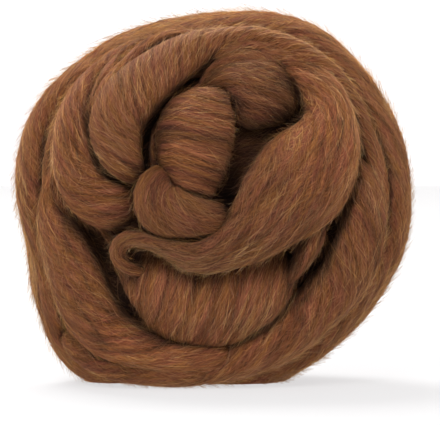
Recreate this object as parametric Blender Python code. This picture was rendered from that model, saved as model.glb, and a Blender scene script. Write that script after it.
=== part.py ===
"""A ball of combed wool roving, wound by hand and resting on a small flat spot.

The ball is one soft solid. Its skin is the outer surface of the roving's main turns, which are laid
over a rounded base form. Each turn is a closed band with a rounded section: it follows a short row of
stations, wraps round the base form, and tucks under its neighbours at both ends.

Frame: X runs across the ball, Y from front (-Y) to back (+Y), Z up. The origin is on the ground,
under the middle of the ball. Tables are in millimetres.
"""

import bmesh
import bpy
import numpy as np
from mathutils import Vector
from mathutils.bvhtree import BVHTree

MM = 0.001

# Driving sizes of the whole ball, in millimetres.
BALL_WIDTH = 170.0
BALL_DEPTH = 120.0
BALL_HEIGHT = 160.0

# The base form: its outline seen from the front, and how it rounds off to front and back.
BASE_HALF_DEPTH = 54.5
BASE_ROUNDNESS = 2.2
GROUND = -80.5                      # height of the ground below the middle of the ball
CORE_SHARE_MIDDLE = 0.7             # the packed inside, as a share of the base form, at its
CORE_SHARE_RIM = 0.92               # front and back and all round its rim

# Distance from the middle of the ball to its outline every 15 degrees, anticlockwise from the right.
OUTLINE_RADII = (85.0, 84.8, 84.8, 85.8, 86.4, 83.0, 80.5, 81.2, 82.8, 85.6, 88.2, 86.4,
                 84.2, 83.4, 93.2, 96.0, 93.0, 90.5, 87.5, 84.0, 81.6, 82.8, 83.6, 85.0)

# The front's tables hold places as they look from a little above: a place seen at a height lies higher
# by this share of how far it stands in front of the middle of the ball.
FRONT_RAISE = 0.07

# Columns of every turn: place across and up the ball, how far the crest stands out of the base form,
# and the half width and half thickness of the roving there.
ACROSS, UP, LIFT, HALF_WIDTH, HALF_THICK = range(5)

# Turns on the front of the ball.
FRONT_TURNS = {
    "left_outer_loop": (
        (-8, 78, -2, 4, 5), (-25, 74.5, -1, 5, 6), (-40, 68, -1, 6, 7), (-52, 58, -1, 8, 8),
        (-61, 45, 0, 10, 9), (-64, 30, 1, 11, 10), (-63, 15, 1, 12, 10), (-57, 3, 1, 12, 10),
        (-47, -3, -1, 12, 9), (-36, -4, -14, 9, 8)),
    "horseshoe_turn": (
        (-31, 7, -13, 4, 6), (-38, 17, 1, 9, 10), (-41, 28, 5, 12.5, 13), (-39, 40, 5, 14.5, 12),
        (-32, 52, 3, 15, 11), (-21, 63, 1, 13, 10), (-9, 71, 0, 11, 9), (5, 74.5, -1, 8, 8),
        (19, 74.5, -1, 6.5, 7.5), (32, 70.5, -2, 6, 7), (43, 61.5, -2, 7, 8), (50, 51, 0, 9, 10),
        (54, 38, 2, 12.5, 12), (51, 24, 4, 18.5, 13), (41.5, 10, 5, 22.5, 14), (29.5, -2.5, 6, 20, 14),
        (18, -13.5, 6, 15, 13), (5, -21.5, 6, 11, 12), (-8, -24.5, 5, 8, 9), (-20, -20.5, 3, 4.5, 6),
        (-31, -17, 2, 4, 6), (-39, -18, 1, 4, 6), (-42.5, -24, 0, 4, 6), (-38, -29.5, -2, 3.5, 5),
        (-28, -31, -3, 3, 5), (-14, -31.5, -11, 2.5, 5)),
    "top_arch": (
        (-6, 57, -9, 4, 7), (2, 64, -6, 5, 8), (11, 68, -5, 5, 9), (22, 68.5, -5, 5, 9),
        (32, 64, -6, 5, 8), (39, 57, -10, 4, 7)),
    "upper_right_fold": (
        (-14, 51, -19, 3, 6), (-5, 54, -8, 7, 8), (5, 56, -2, 11, 10), (14, 52, 1, 15, 12),
        (22, 48, 2, 18, 12), (29, 47, 0, 17, 12), (35, 47, -8, 13, 11), (40, 46, -24, 9, 8)),
    "middle_knob": (
        (-27, 25, -24, 18, 8), (-22, 25, -6, 21, 10), (-16, 26, 1, 24.5, 12), (-8, 26, 5, 27, 14),
        (0, 25.5, 4, 27, 13), (5, 25, -3, 25.5, 11), (9, 24, -20, 22, 9)),
    "lower_knob": (
        (-21, 12, -14, 5, 7), (-25, 5, 3, 9, 10), (-23, -3, 7, 13, 12), (-13, -7, 7, 11, 11),
        (-3, -9, 3, 8, 9), (9, -7, -10, 5, 7)),
    "lower_cushion": (
        (0, -18, -27, 26, 9), (-1, -29, -15, 38, 12), (-2, -41, -2, 44, 15), (-3, -53, -1, 39, 14),
        (-5, -63, -7, 26, 12), (-6, -71, -20, 8, 8)),
    "left_sweep": (
        (-75, 11, -5, 4, 6), (-77, -4, -2, 7, 8), (-73, -19, 0, 13, 11), (-67, -34, 1, 15, 13),
        (-60, -49, 2, 15.5, 13), (-48, -63, 2, 13, 13), (-28, -71.5, 1, 9, 11), (-4, -75.5, -1, 9, 10),
        (18, -76, -8, 8, 8)),
    "bottom_fold": (
        (-64, -67, -2, 6, 8), (-50, -76, 0, 7, 8), (-32, -81, 1, 9, 8), (-8, -84, 1, 10, 8), (16, -84, 0, 8, 7)),
    "right_sweep": (
        (-24, -84, -1, 8, 7), (-2, -80, -1, 9, 8), (18, -74, 0, 11.5, 10), (34, -65.5, 1, 13, 11),
        (48, -54, 1, 14, 12), (60, -39, 2, 14.5, 12), (67.5, -22, 1, 13.5, 11), (70.5, -5, 0, 11, 10),
        (70.5, 10, -4, 7.5, 8), (67.5, 26, -16, 3, 6)),
    "right_tuck": (
        (50, -3, -14, 4, 6), (48, -14, -5, 5.5, 8), (44, -24, -4, 5.5, 8), (38, -35, -6, 4, 7),
        (29, -49, -13, 3, 6)),
}

# Turns on the back of the ball.
BACK_TURNS = {
    "back_low_turn": (
        (-80, 2, -9, 5, 7), (-74, -20, -1, 10, 10), (-60, -42, 1, 15, 13), (-32, -57, 2, 17, 14),
        (0, -62, 2, 17, 14), (34, -55, 1, 16, 13), (60, -34, 0, 13, 12), (74, -8, -4, 9, 9),
        (76, 12, -12, 5, 6)),
    "back_left_turn": (
        (-16, 77, -9, 6, 7), (-36, 63, 0, 13, 11), (-51, 42, 2, 17, 13), (-56, 16, 2, 18, 14),
        (-54, -10, 1, 17, 13), (-46, -32, -4, 14, 11), (-36, -48, -14, 9, 8)),
    "back_right_turn": (
        (18, 78, -9, 6, 7), (40, 66, 0, 13, 11), (56, 44, 2, 17, 13), (61, 16, 2, 17, 14),
        (57, -10, 1, 15, 13), (47, -32, -5, 11, 10), (38, -46, -14, 7, 8)),
    "back_top_turn": (
        (-26, 76, -9, 7, 7), (-6, 68, 1, 14, 12), (14, 54, 3, 18, 13), (26, 34, 2, 18, 13),
        (27, 14, -3, 15, 12), (22, -4, -16, 10, 9)),
    "back_inner_turn": (
        (-30, 56, -12, 8, 8), (-24, 40, -3, 14, 12), (-12, 24, -3, 15, 12), (4, 10, -16, 10, 9)),
    "back_cross_turn": (
        (-70, 34, -16, 6, 7), (-56, 30, -1, 11, 11), (-38, 20, 4, 16, 13), (-16, 6, 6, 18, 14),
        (6, -10, 6, 18, 14), (27, -27, 4, 16, 13), (46, -42, 0, 12, 11), (62, -54, -12, 6, 7)),
    "back_tucked_turn": (
        (-44, -14, -12, 9, 9), (-32, -24, 0, 15, 12), (-14, -36, 2, 16, 13), (6, -46, -1, 14, 12),
        (22, -54, -12, 8, 8)),
}

# Turns that go right round the rim. Columns: angle towards the back, how far and from which angle it
# sways to the back and the front, lift, half width and half thickness.
RIM_TURNS = {
    "front_rim": (-26, 5, 40, -1, 12, 9),
    "middle_rim": (2, 7, 150, 0, 15, 12),
    "back_rim": (29, 6, 250, -1, 13, 11),
}

# How finely the turns and the skin are made.
STATIONS_PER_ROW = 5
RIM_STATIONS = 72
SECTION_POINTS = 20
SECTION_SQUARENESS = 2.3
SKIN_SUBDIVISIONS = 6
SKIN_SMOOTHING_STEPS = 5
SKIN_TRIANGLES = 8000

ROVING_COLOUR = (0.178, 0.068, 0.030, 1.0)
ROVING_ROUGHNESS = 0.85


def clear_scene():
    """Remove every object that the scene holds."""
    for item in list(bpy.data.objects):
        bpy.data.objects.remove(item, do_unlink=True)


def catmull_rom(rows, per_row, closed=False):
    """Return the rows with a smooth run of per_row stations from each row to the next."""
    rows = np.asarray(rows, dtype=float)
    if closed:
        padded = np.vstack([rows[-1], rows, rows[:2]])
    else:
        padded = np.vstack([2 * rows[0] - rows[1], rows, 2 * rows[-1] - rows[-2]])
    t = np.linspace(0.0, 1.0, per_row, endpoint=False)[:, None]
    runs = []
    for p0, p1, p2, p3 in zip(padded, padded[1:], padded[2:], padded[3:]):
        runs.append(0.5 * (2 * p1 + (p2 - p0) * t + (2 * p0 - 5 * p1 + 4 * p2 - p3) * t ** 2
                           + (3 * p1 - p0 - 3 * p2 + p3) * t ** 3))
    if not closed:
        runs.append(rows[-1:])
    return np.vstack(runs)


def outline_radius(angle):
    """Return the distance from the middle to the front outline at an angle in radians."""
    fine = catmull_rom(np.array(OUTLINE_RADII)[:, None], STATIONS_PER_ROW, closed=True)[:, 0]
    places = np.linspace(0.0, 2 * np.pi, len(fine) + 1)
    return np.interp(np.mod(angle, 2 * np.pi), places, np.append(fine, fine[0]))


def gauge(points):
    """Return how far out each point lies: 1 on the base form, less inside it."""
    reach = np.hypot(points[..., 0], points[..., 2])
    share = reach / outline_radius(np.arctan2(points[..., 2], points[..., 0]))
    depth = np.abs(points[..., 1]) / BASE_HALF_DEPTH
    return (share ** BASE_ROUNDNESS + depth ** BASE_ROUNDNESS) ** (1 / BASE_ROUNDNESS)


def onto_base(points):
    """Move points straight out from the middle of the ball onto the base form."""
    return points / gauge(points)[..., None]


def outward(points):
    """Return the base form's outward directions at the points."""
    step = 0.5
    slopes = [gauge(points + step * axis) - gauge(points - step * axis) for axis in np.eye(3)]
    normals = np.stack(slopes, axis=-1)
    return normals / np.linalg.norm(normals, axis=-1, keepdims=True)


def on_face(across, up, side):
    """Return places on the front (-1) or the back (1) of the base form."""
    share = np.hypot(across, up) / outline_radius(np.arctan2(up, across))
    depth = np.clip(1 - share ** BASE_ROUNDNESS, 0.0, 1.0) ** (1 / BASE_ROUNDNESS)
    return onto_base(np.column_stack([across, side * BASE_HALF_DEPTH * depth, up]))


def face_points(stations, side):
    """Return places on the base form for stations seen from the front (-1) or the back (1)."""
    across, up = stations[:, ACROSS], stations[:, UP]
    places = on_face(across, up, side)
    if side < 0:
        places = on_face(across, up + FRONT_RAISE * np.abs(places[:, 1]), side)
    return places


def rim_points(toward_back, sway, sway_start):
    """Return a closed loop of places on the base form that sways about one angle to the back."""
    around = np.linspace(0.0, 2 * np.pi, RIM_STATIONS, endpoint=False)
    lean = np.radians(toward_back + sway * np.sin(around - np.radians(sway_start)))
    reach = outline_radius(around) * np.cos(lean)
    depth = BASE_HALF_DEPTH * np.sin(lean)
    return onto_base(np.column_stack([reach * np.cos(around), depth, reach * np.sin(around)]))


def tangents(path, closed):
    """Return the unit directions along a path."""
    if closed:
        steps = np.roll(path, -1, axis=0) - np.roll(path, 1, axis=0)
    else:
        steps = np.gradient(path, axis=0)
    return steps / np.linalg.norm(steps, axis=1, keepdims=True)


def band_sections(places, lift, half_width, half_thick, closed):
    """Return the turn's sections as rings of points, each wrapped round the base form."""
    along = tangents(places, closed)
    turn = np.linspace(0.0, 2 * np.pi, SECTION_POINTS, endpoint=False)
    power = 2 / SECTION_SQUARENESS
    wide = np.sign(np.cos(turn)) * np.abs(np.cos(turn)) ** power
    high = np.sign(np.sin(turn)) * np.abs(np.sin(turn)) ** power
    sideways = np.cross(along, outward(places))
    reach = np.linalg.norm(places, axis=1)[:, None]
    offset = reach * np.tan(wide * half_width[:, None] / reach)
    spots = onto_base(places[:, None, :] + sideways[:, None, :] * offset[..., None])
    height = lift[:, None] + half_thick[:, None] * (high - 1)
    return spots + outward(spots) * height[..., None]


def tube_faces(count, closed, first):
    """Return the faces of a tube of sections, with its ends capped unless it is a closed loop."""
    faces = []
    for ring in range(count if closed else count - 1):
        here = first + ring * SECTION_POINTS
        there = first + (ring + 1) % count * SECTION_POINTS
        for spot in range(SECTION_POINTS):
            after = (spot + 1) % SECTION_POINTS
            faces.append((here + spot, there + spot, there + after, here + after))
    if not closed:
        last = first + (count - 1) * SECTION_POINTS
        faces.append(tuple(range(first, first + SECTION_POINTS)))
        faces.append(tuple(range(last, last + SECTION_POINTS))[::-1])
    return faces


def all_turns():
    """Yield the sections of every turn, and whether the turn is a closed loop."""
    for turns, side in ((FRONT_TURNS, -1), (BACK_TURNS, 1)):
        for rows in turns.values():
            stations = catmull_rom(rows, STATIONS_PER_ROW)
            yield band_sections(face_points(stations, side), *stations[:, LIFT:].T, False), False
    for toward_back, sway, sway_start, *sizes in RIM_TURNS.values():
        columns = np.repeat(np.array(sizes, dtype=float)[:, None], RIM_STATIONS, axis=1)
        yield band_sections(rim_points(toward_back, sway, sway_start), *columns, True), True


def turns_tree():
    """Return a search tree over the surfaces of all the turns."""
    points, faces = [], []
    for sections, closed in all_turns():
        faces.extend(tube_faces(len(sections), closed, len(points)))
        points.extend(sections.reshape(-1, 3).tolist())
    return BVHTree.FromPolygons(points, faces)


def skin_mesh():
    """Return the ball's skin: the outermost surface of the turns and the packed inside."""
    tree = turns_tree()
    far = 2 * BALL_WIDTH
    skin = bmesh.new()
    bmesh.ops.create_icosphere(skin, subdivisions=SKIN_SUBDIVISIONS, radius=1.0)
    for vert in skin.verts:
        ray = vert.co.normalized()
        base = 1 / float(gauge(np.array(ray)))
        rim_share = 1 - abs(ray.y) * base / BASE_HALF_DEPTH
        core = base * (CORE_SHARE_MIDDLE + (CORE_SHARE_RIM - CORE_SHARE_MIDDLE) * rim_share)
        hit = tree.ray_cast(ray * far, -ray)[0]
        vert.co = ray * max(core, hit.length if hit else 0.0)
    for _ in range(SKIN_SMOOTHING_STEPS):
        bmesh.ops.smooth_vert(skin, verts=skin.verts, factor=0.5, use_axis_x=True, use_axis_y=True,
                              use_axis_z=True)
    return skin


def make_roving_material():
    """Return the brown combed wool."""
    material = bpy.data.materials.new("brown_combed_wool")
    material.use_nodes = True
    shader = material.node_tree.nodes["Principled BSDF"]
    shader.inputs["Base Color"].default_value = ROVING_COLOUR
    shader.inputs["Roughness"].default_value = ROVING_ROUGHNESS
    shader.inputs["Metallic"].default_value = 0.0
    return material


def thin_skin(ball):
    """Bring the skin down to its triangle budget and apply it."""
    thinner = ball.modifiers.new("thin", "DECIMATE")
    thinner.ratio = SKIN_TRIANGLES / len(ball.data.polygons)
    thin = bpy.data.meshes.new_from_object(ball.evaluated_get(bpy.context.evaluated_depsgraph_get()))
    ball.modifiers.remove(thinner)
    dense = ball.data
    ball.data = thin
    bpy.data.meshes.remove(dense)


def rest_on_ground(mesh):
    """Cut the flat spot, and bring the ball to its full size with the origin under its middle."""
    skin = bmesh.new()
    skin.from_mesh(mesh)
    cut = bmesh.ops.bisect_plane(skin, geom=skin.verts[:] + skin.edges[:] + skin.faces[:],
                                 plane_co=(0, 0, GROUND), plane_no=(0, 0, 1), clear_inner=True)
    rim = [item for item in cut["geom_cut"] if isinstance(item, bmesh.types.BMEdge)]
    bmesh.ops.contextual_create(skin, geom=rim)
    bmesh.ops.triangulate(skin, faces=skin.faces[:])
    corners = np.array([vert.co for vert in skin.verts])
    low, high = corners.min(axis=0), corners.max(axis=0)
    foot = Vector(((low[0] + high[0]) / 2, (low[1] + high[1]) / 2, low[2]))
    scale = Vector((BALL_WIDTH, BALL_DEPTH, BALL_HEIGHT) / (high - low)) * MM
    for vert in skin.verts:
        vert.co = (vert.co - foot) * scale
    bmesh.ops.recalc_face_normals(skin, faces=skin.faces[:])
    skin.to_mesh(mesh)
    skin.free()


def make_roving_ball():
    """Make the wound ball as one solid."""
    skin = skin_mesh()
    mesh = bpy.data.meshes.new("roving_ball")
    skin.to_mesh(mesh)
    skin.free()
    ball = bpy.data.objects.new("roving_ball", mesh)
    bpy.context.scene.collection.objects.link(ball)
    thin_skin(ball)
    rest_on_ground(ball.data)
    ball.data.name = "roving_ball"
    ball.data.shade_smooth()
    ball.data.materials.clear()
    ball.data.materials.append(make_roving_material())


clear_scene()
make_roving_ball()
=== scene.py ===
"""The looks of a ball of brown combed wool roving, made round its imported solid.

One long sliver of combed wool is wound by hand into a ball. Each turn lies over a rounded base
form, is thick and soft, and tucks under its neighbours at both ends. Every turn is a closed body
whose skin is combed into locks and ribs, with loose fibres laid along it. Tables are in
millimetres, seen from the front of the ball: across to the right, up from its middle.
"""

from __future__ import annotations

import logging
import math
from dataclasses import dataclass, field, fields
from enum import Enum

import bpy
import numpy as np
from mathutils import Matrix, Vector
from mathutils.bvhtree import BVHTree


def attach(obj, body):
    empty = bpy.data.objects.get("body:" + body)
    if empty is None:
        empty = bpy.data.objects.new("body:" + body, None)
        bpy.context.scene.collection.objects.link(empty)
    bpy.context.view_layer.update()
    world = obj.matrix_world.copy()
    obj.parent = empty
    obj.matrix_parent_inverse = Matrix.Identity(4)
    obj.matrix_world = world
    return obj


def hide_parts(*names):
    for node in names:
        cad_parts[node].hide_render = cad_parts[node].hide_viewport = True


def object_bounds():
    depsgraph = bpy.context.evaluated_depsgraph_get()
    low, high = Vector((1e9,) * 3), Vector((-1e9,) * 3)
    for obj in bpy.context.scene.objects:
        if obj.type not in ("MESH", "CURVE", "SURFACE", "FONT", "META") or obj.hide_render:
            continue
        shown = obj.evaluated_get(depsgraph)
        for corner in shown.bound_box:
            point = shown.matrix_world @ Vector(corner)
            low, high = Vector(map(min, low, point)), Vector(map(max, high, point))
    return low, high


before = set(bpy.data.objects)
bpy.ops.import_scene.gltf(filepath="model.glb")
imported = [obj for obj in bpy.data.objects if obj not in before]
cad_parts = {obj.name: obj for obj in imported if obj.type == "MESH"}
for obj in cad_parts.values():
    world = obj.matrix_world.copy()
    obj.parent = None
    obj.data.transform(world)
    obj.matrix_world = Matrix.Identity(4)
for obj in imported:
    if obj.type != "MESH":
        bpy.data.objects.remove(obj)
CAD_LOW, CAD_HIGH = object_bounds()

LOG = logging.getLogger("wool_roving")
MM = 0.001
NODE = "roving_ball"
BODY = "root"

MATH = "ShaderNodeMath"
VECTOR_MATH = "ShaderNodeVectorMath"
MAP_RANGE = "ShaderNodeMapRange"
NOISE = "ShaderNodeTexNoise"
ATTRIBUTE = "ShaderNodeAttribute"
SEPARATE = "ShaderNodeSeparateXYZ"
COMBINE = "ShaderNodeCombineXYZ"
RAMP = "ShaderNodeValToRGB"
SHADER = "ShaderNodeBsdfPrincipled"
NEW_RAMP_STOPS = 2

# The whole numbers that scatter a lattice's places into fixed random values of 32 bits.
SCATTER_ACROSS, SCATTER_ALONG = 374761393, 668265263
SCATTER_SEED, SCATTER_AGAIN = 974634777, 1274126177
LOW_BITS = 0xFFFFFFFF

Rows = tuple[tuple[float, ...], ...]


class Side(Enum):
    """The side of the ball that a turn's stations are seen from."""

    FRONT = -1
    BACK = 1
    RIM = 0


def linear_colour(code: str) -> tuple[float, float, float, float]:
    """Turn an sRGB hex colour into linear light.

    Args:
        code: six hex digits, without a leading sign.

    Returns:
        The linear red, green and blue, with an alpha of 1.
    """
    channels = [int(code[at:at + 2], 16) / 255 for at in (0, 2, 4)]
    linear = [c / 12.92 if c <= 0.04045 else ((c + 0.055) / 1.055) ** 2.4 for c in channels]
    return (*linear, 1.0)


def add_node(tree: bpy.types.NodeTree, kind: str, inputs: dict | tuple = (),
             **settings: object) -> bpy.types.Node:
    """Add a node to a tree with its settings, input values and links.

    Args:
        tree: the tree that gets the node.
        kind: the node's type.
        inputs: what goes into its inputs, in their order, or by name or place. Each is a value, an
            output socket, or a node, which stands for its first output.
        **settings: the node's own properties.

    Returns:
        The new node.
    """
    node = tree.nodes.new(kind)
    for name, value in settings.items():
        setattr(node, name, value)
    for key, value in inputs.items() if isinstance(inputs, dict) else enumerate(inputs):
        if isinstance(value, bpy.types.Node):
            value = value.outputs[0]
        if isinstance(value, bpy.types.NodeSocket):
            tree.links.new(value, node.inputs[key])
        else:
            node.inputs[key].default_value = value
    return node


def smooth_rows(rows: np.ndarray, per_row: int) -> np.ndarray:
    """Draw a Catmull-Rom run through rows of values.

    Args:
        rows: the rows to run through.
        per_row: how many stations there are from each row to the next.

    Returns:
        The stations, with the last row at their end.
    """
    padded = np.vstack([2 * rows[0] - rows[1], rows, 2 * rows[-1] - rows[-2]])
    t = np.linspace(0.0, 1.0, per_row, endpoint=False)[:, None]
    runs = []
    for p0, p1, p2, p3 in zip(padded, padded[1:], padded[2:], padded[3:]):
        runs.append(0.5 * (2 * p1 + (p2 - p0) * t + (2 * p0 - 5 * p1 + 4 * p2 - p3) * t ** 2
                           + (3 * p1 - p0 - 3 * p2 + p3) * t ** 3))
    return np.vstack([*runs, rows[-1:]])


def smooth_step(share: np.ndarray) -> np.ndarray:
    """Ease shares from 0 to 1, level at both ends."""
    return share * share * (3 - 2 * share)


def unit(vectors: np.ndarray) -> np.ndarray:
    """Return the vectors at length 1."""
    return vectors / np.maximum(np.linalg.norm(vectors, axis=-1, keepdims=True), 1e-9)


def lattice_values(x: np.ndarray, y: np.ndarray, seed: int) -> np.ndarray:
    """Draw a fixed random value for each whole-numbered place of a lattice.

    Args:
        x: the places across.
        y: the places along.
        seed: a number that sets this lattice apart.

    Returns:
        The values, from 0 to 1.
    """
    mixed = (x.astype(np.int64) * SCATTER_ACROSS + y.astype(np.int64) * SCATTER_ALONG
             + seed * SCATTER_SEED)
    mixed &= LOW_BITS
    mixed = ((mixed ^ (mixed >> 13)) * SCATTER_AGAIN) & LOW_BITS
    return (mixed ^ (mixed >> 16)) / LOW_BITS


def smooth_noise(x: np.ndarray, y: np.ndarray, seed: int) -> np.ndarray:
    """Draw smooth noise with one swell for each unit of x and y.

    Args:
        x: the places across.
        y: the places along.
        seed: a number that sets this noise apart.

    Returns:
        The noise, from -1 to 1.
    """
    x0, y0 = np.floor(x), np.floor(y)
    fx, fy = smooth_step(x - x0), smooth_step(y - y0)
    low = lattice_values(x0, y0, seed) * (1 - fx) + lattice_values(x0 + 1, y0, seed) * fx
    high = lattice_values(x0, y0 + 1, seed) * (1 - fx) + lattice_values(x0 + 1, y0 + 1, seed) * fx
    return 2 * (low * (1 - fy) + high * fy) - 1


@dataclass(frozen=True)
class BaseForm:
    """The rounded form that the turns are wound over, in millimetres."""

    half_depth: float = 54.5
    roundness: float = 2.2
    ground: float = -80.5
    # Distance from the middle to the outline every 15 degrees, anticlockwise from the right.
    outline: tuple[float, ...] = (
        85.9, 86.0, 86.0, 87.0, 87.8, 85.2, 81.0, 79.8, 81.2, 84.4, 87.2, 86.6,
        84.4, 82.4, 87.7, 94.7, 97.4, 93.0, 90.8, 87.3, 83.9, 82.4, 82.9, 85.0)
    outline_samples: int = 8
    slope_step: float = 0.5

    def outline_radius(self, angle: np.ndarray) -> np.ndarray:
        """Measure from the middle to the outline.

        Args:
            angle: angles in radians, anticlockwise from the right.

        Returns:
            The distance at each angle.
        """
        fine = smooth_rows(np.array(self.outline * 3)[:, None], self.outline_samples)[:, 0]
        places = np.linspace(-2 * np.pi, 4 * np.pi - 2 * np.pi / len(self.outline), len(fine))
        return np.interp(np.mod(angle, 2 * np.pi), places, fine)

    def gauge(self, points: np.ndarray) -> np.ndarray:
        """Tell how far out points lie.

        Args:
            points: the points.

        Returns:
            1 on the form, less inside it and more outside it.
        """
        reach = np.hypot(points[..., 0], points[..., 2])
        share = reach / self.outline_radius(np.arctan2(points[..., 2], points[..., 0]))
        depth = np.abs(points[..., 1]) / self.half_depth
        return (share ** self.roundness + depth ** self.roundness) ** (1 / self.roundness)

    def onto(self, points: np.ndarray) -> np.ndarray:
        """Move points straight out from the middle of the ball onto the form."""
        return points / self.gauge(points)[..., None]

    def outward(self, points: np.ndarray) -> np.ndarray:
        """Find the form's outward directions.

        Args:
            points: places on or near the form.

        Returns:
            The direction at each place, at length 1.
        """
        step = self.slope_step
        slopes = [
            self.gauge(points + step * axis) - self.gauge(points - step * axis)
            for axis in np.eye(3)]
        return unit(np.stack(slopes, axis=-1))

    def face_places(self, across: np.ndarray, up: np.ndarray, side: Side) -> np.ndarray:
        """Put stations that are seen from the front or the back onto the form.

        Args:
            across: their places across the ball.
            up: their heights over its middle.
            side: the side that they are seen from.

        Returns:
            Their places on the form.
        """
        share = np.hypot(across, up) / self.outline_radius(np.arctan2(up, across))
        depth = np.clip(1 - share ** self.roundness, 0.0, 1.0) ** (1 / self.roundness)
        return self.onto(np.column_stack([across, side.value * self.half_depth * depth, up]))

    def rim_places(self, around: np.ndarray, toward_back: np.ndarray) -> np.ndarray:
        """Put stations of the rim onto the form.

        Args:
            around: their angles round the rim, in degrees.
            toward_back: their angles towards the back.

        Returns:
            Their places on the form.
        """
        turn, lean = np.radians(around), np.radians(toward_back)
        reach = self.outline_radius(turn) * np.cos(lean)
        depth = self.half_depth * np.sin(lean)
        return self.onto(np.column_stack([reach * np.cos(turn), depth, reach * np.sin(turn)]))


@dataclass(frozen=True)
class Combing:
    """How the skin of a turn is combed: locks, ribs and fibres, each a layer of long ridges.

    Sizes are in millimetres. The whole comb wanders a little from side to side. The bottoms of the
    grooves of the locks and ribs are darkened with painted shade.
    """

    lock_width: float = 11.0
    lock_length: float = 70.0
    lock_height: float = 1.35
    rib_width: float = 4.2
    rib_length: float = 36.0
    rib_height: float = 0.5
    fibre_width: float = 1.7
    fibre_length: float = 20.0
    fibre_height: float = 0.14
    ridge_middle: float = 0.55
    groove_left: float = 0.38
    groove_edge: float = 0.62
    wander: float = 2.4
    wander_width: float = 14.0
    wander_length: float = 38.0

    def relief(self, across: np.ndarray, along: np.ndarray,
               seed: int) -> tuple[np.ndarray, np.ndarray]:
        """Comb the skin of a turn.

        Args:
            across: places across the turn, in millimetres.
            along: places along it.
            seed: the number that the locks, ribs and fibres are drawn from.

        Returns:
            How far the skin stands out, in millimetres, and how clear it is of grooves, up to 1, by
            which painted shade darkens the grooves.
        """
        drift = self.wander * smooth_noise(
            across / self.wander_width, along / self.wander_length, seed)
        placed = across + drift
        layers = (
            (self.lock_width, self.lock_length, self.lock_height),
            (self.rib_width, self.rib_length, self.rib_height),
            (self.fibre_width, self.fibre_length, self.fibre_height))
        height, clear = np.zeros_like(placed), np.ones_like(placed)
        for at, (width, length, tall) in enumerate(layers, start=1):
            ridge = np.sqrt(np.abs(smooth_noise(placed / width, along / length, seed + at)))
            height += tall * (ridge - self.ridge_middle)
            # Painted shade: the skin grows darker towards the bottom of each groove of the locks
            # and ribs.
            if width > self.fibre_width:
                clear *= np.clip(self.groove_left + ridge / self.groove_edge, 0.0, 1.0)
        return height, clear


@dataclass(frozen=True)
class Turn:
    """One turn of the roving: rows of across, up, lift, half width, half thickness and edge.

    The lift is how far the turn's crest stands out of the base form. The edge is 0 for a full,
    rounded side and 1 for a side that thins out to nothing. On the rim the first two columns are
    the angle round the rim and the angle towards the back, in degrees. The twist is how far the
    fibres drift to the left of the turn for each step along it. The last values are painted light
    and shade that scale how bright its wool is, at even steps along it: lighter where the turn
    stands in more light, darker where it lies in the shade of other turns.
    """

    name: str
    side: Side
    twist: float
    rows: Rows
    shades: tuple[float, ...] = (1.0,)

    def shade_along(self, share: np.ndarray) -> np.ndarray:
        """Return the painted light and shade at shares of the turn's length."""
        return np.interp(share, np.linspace(0.0, 1.0, len(self.shades)), self.shades)


# Where a turn ends in a tuple of its own, those are its painted light and shade along it.
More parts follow.
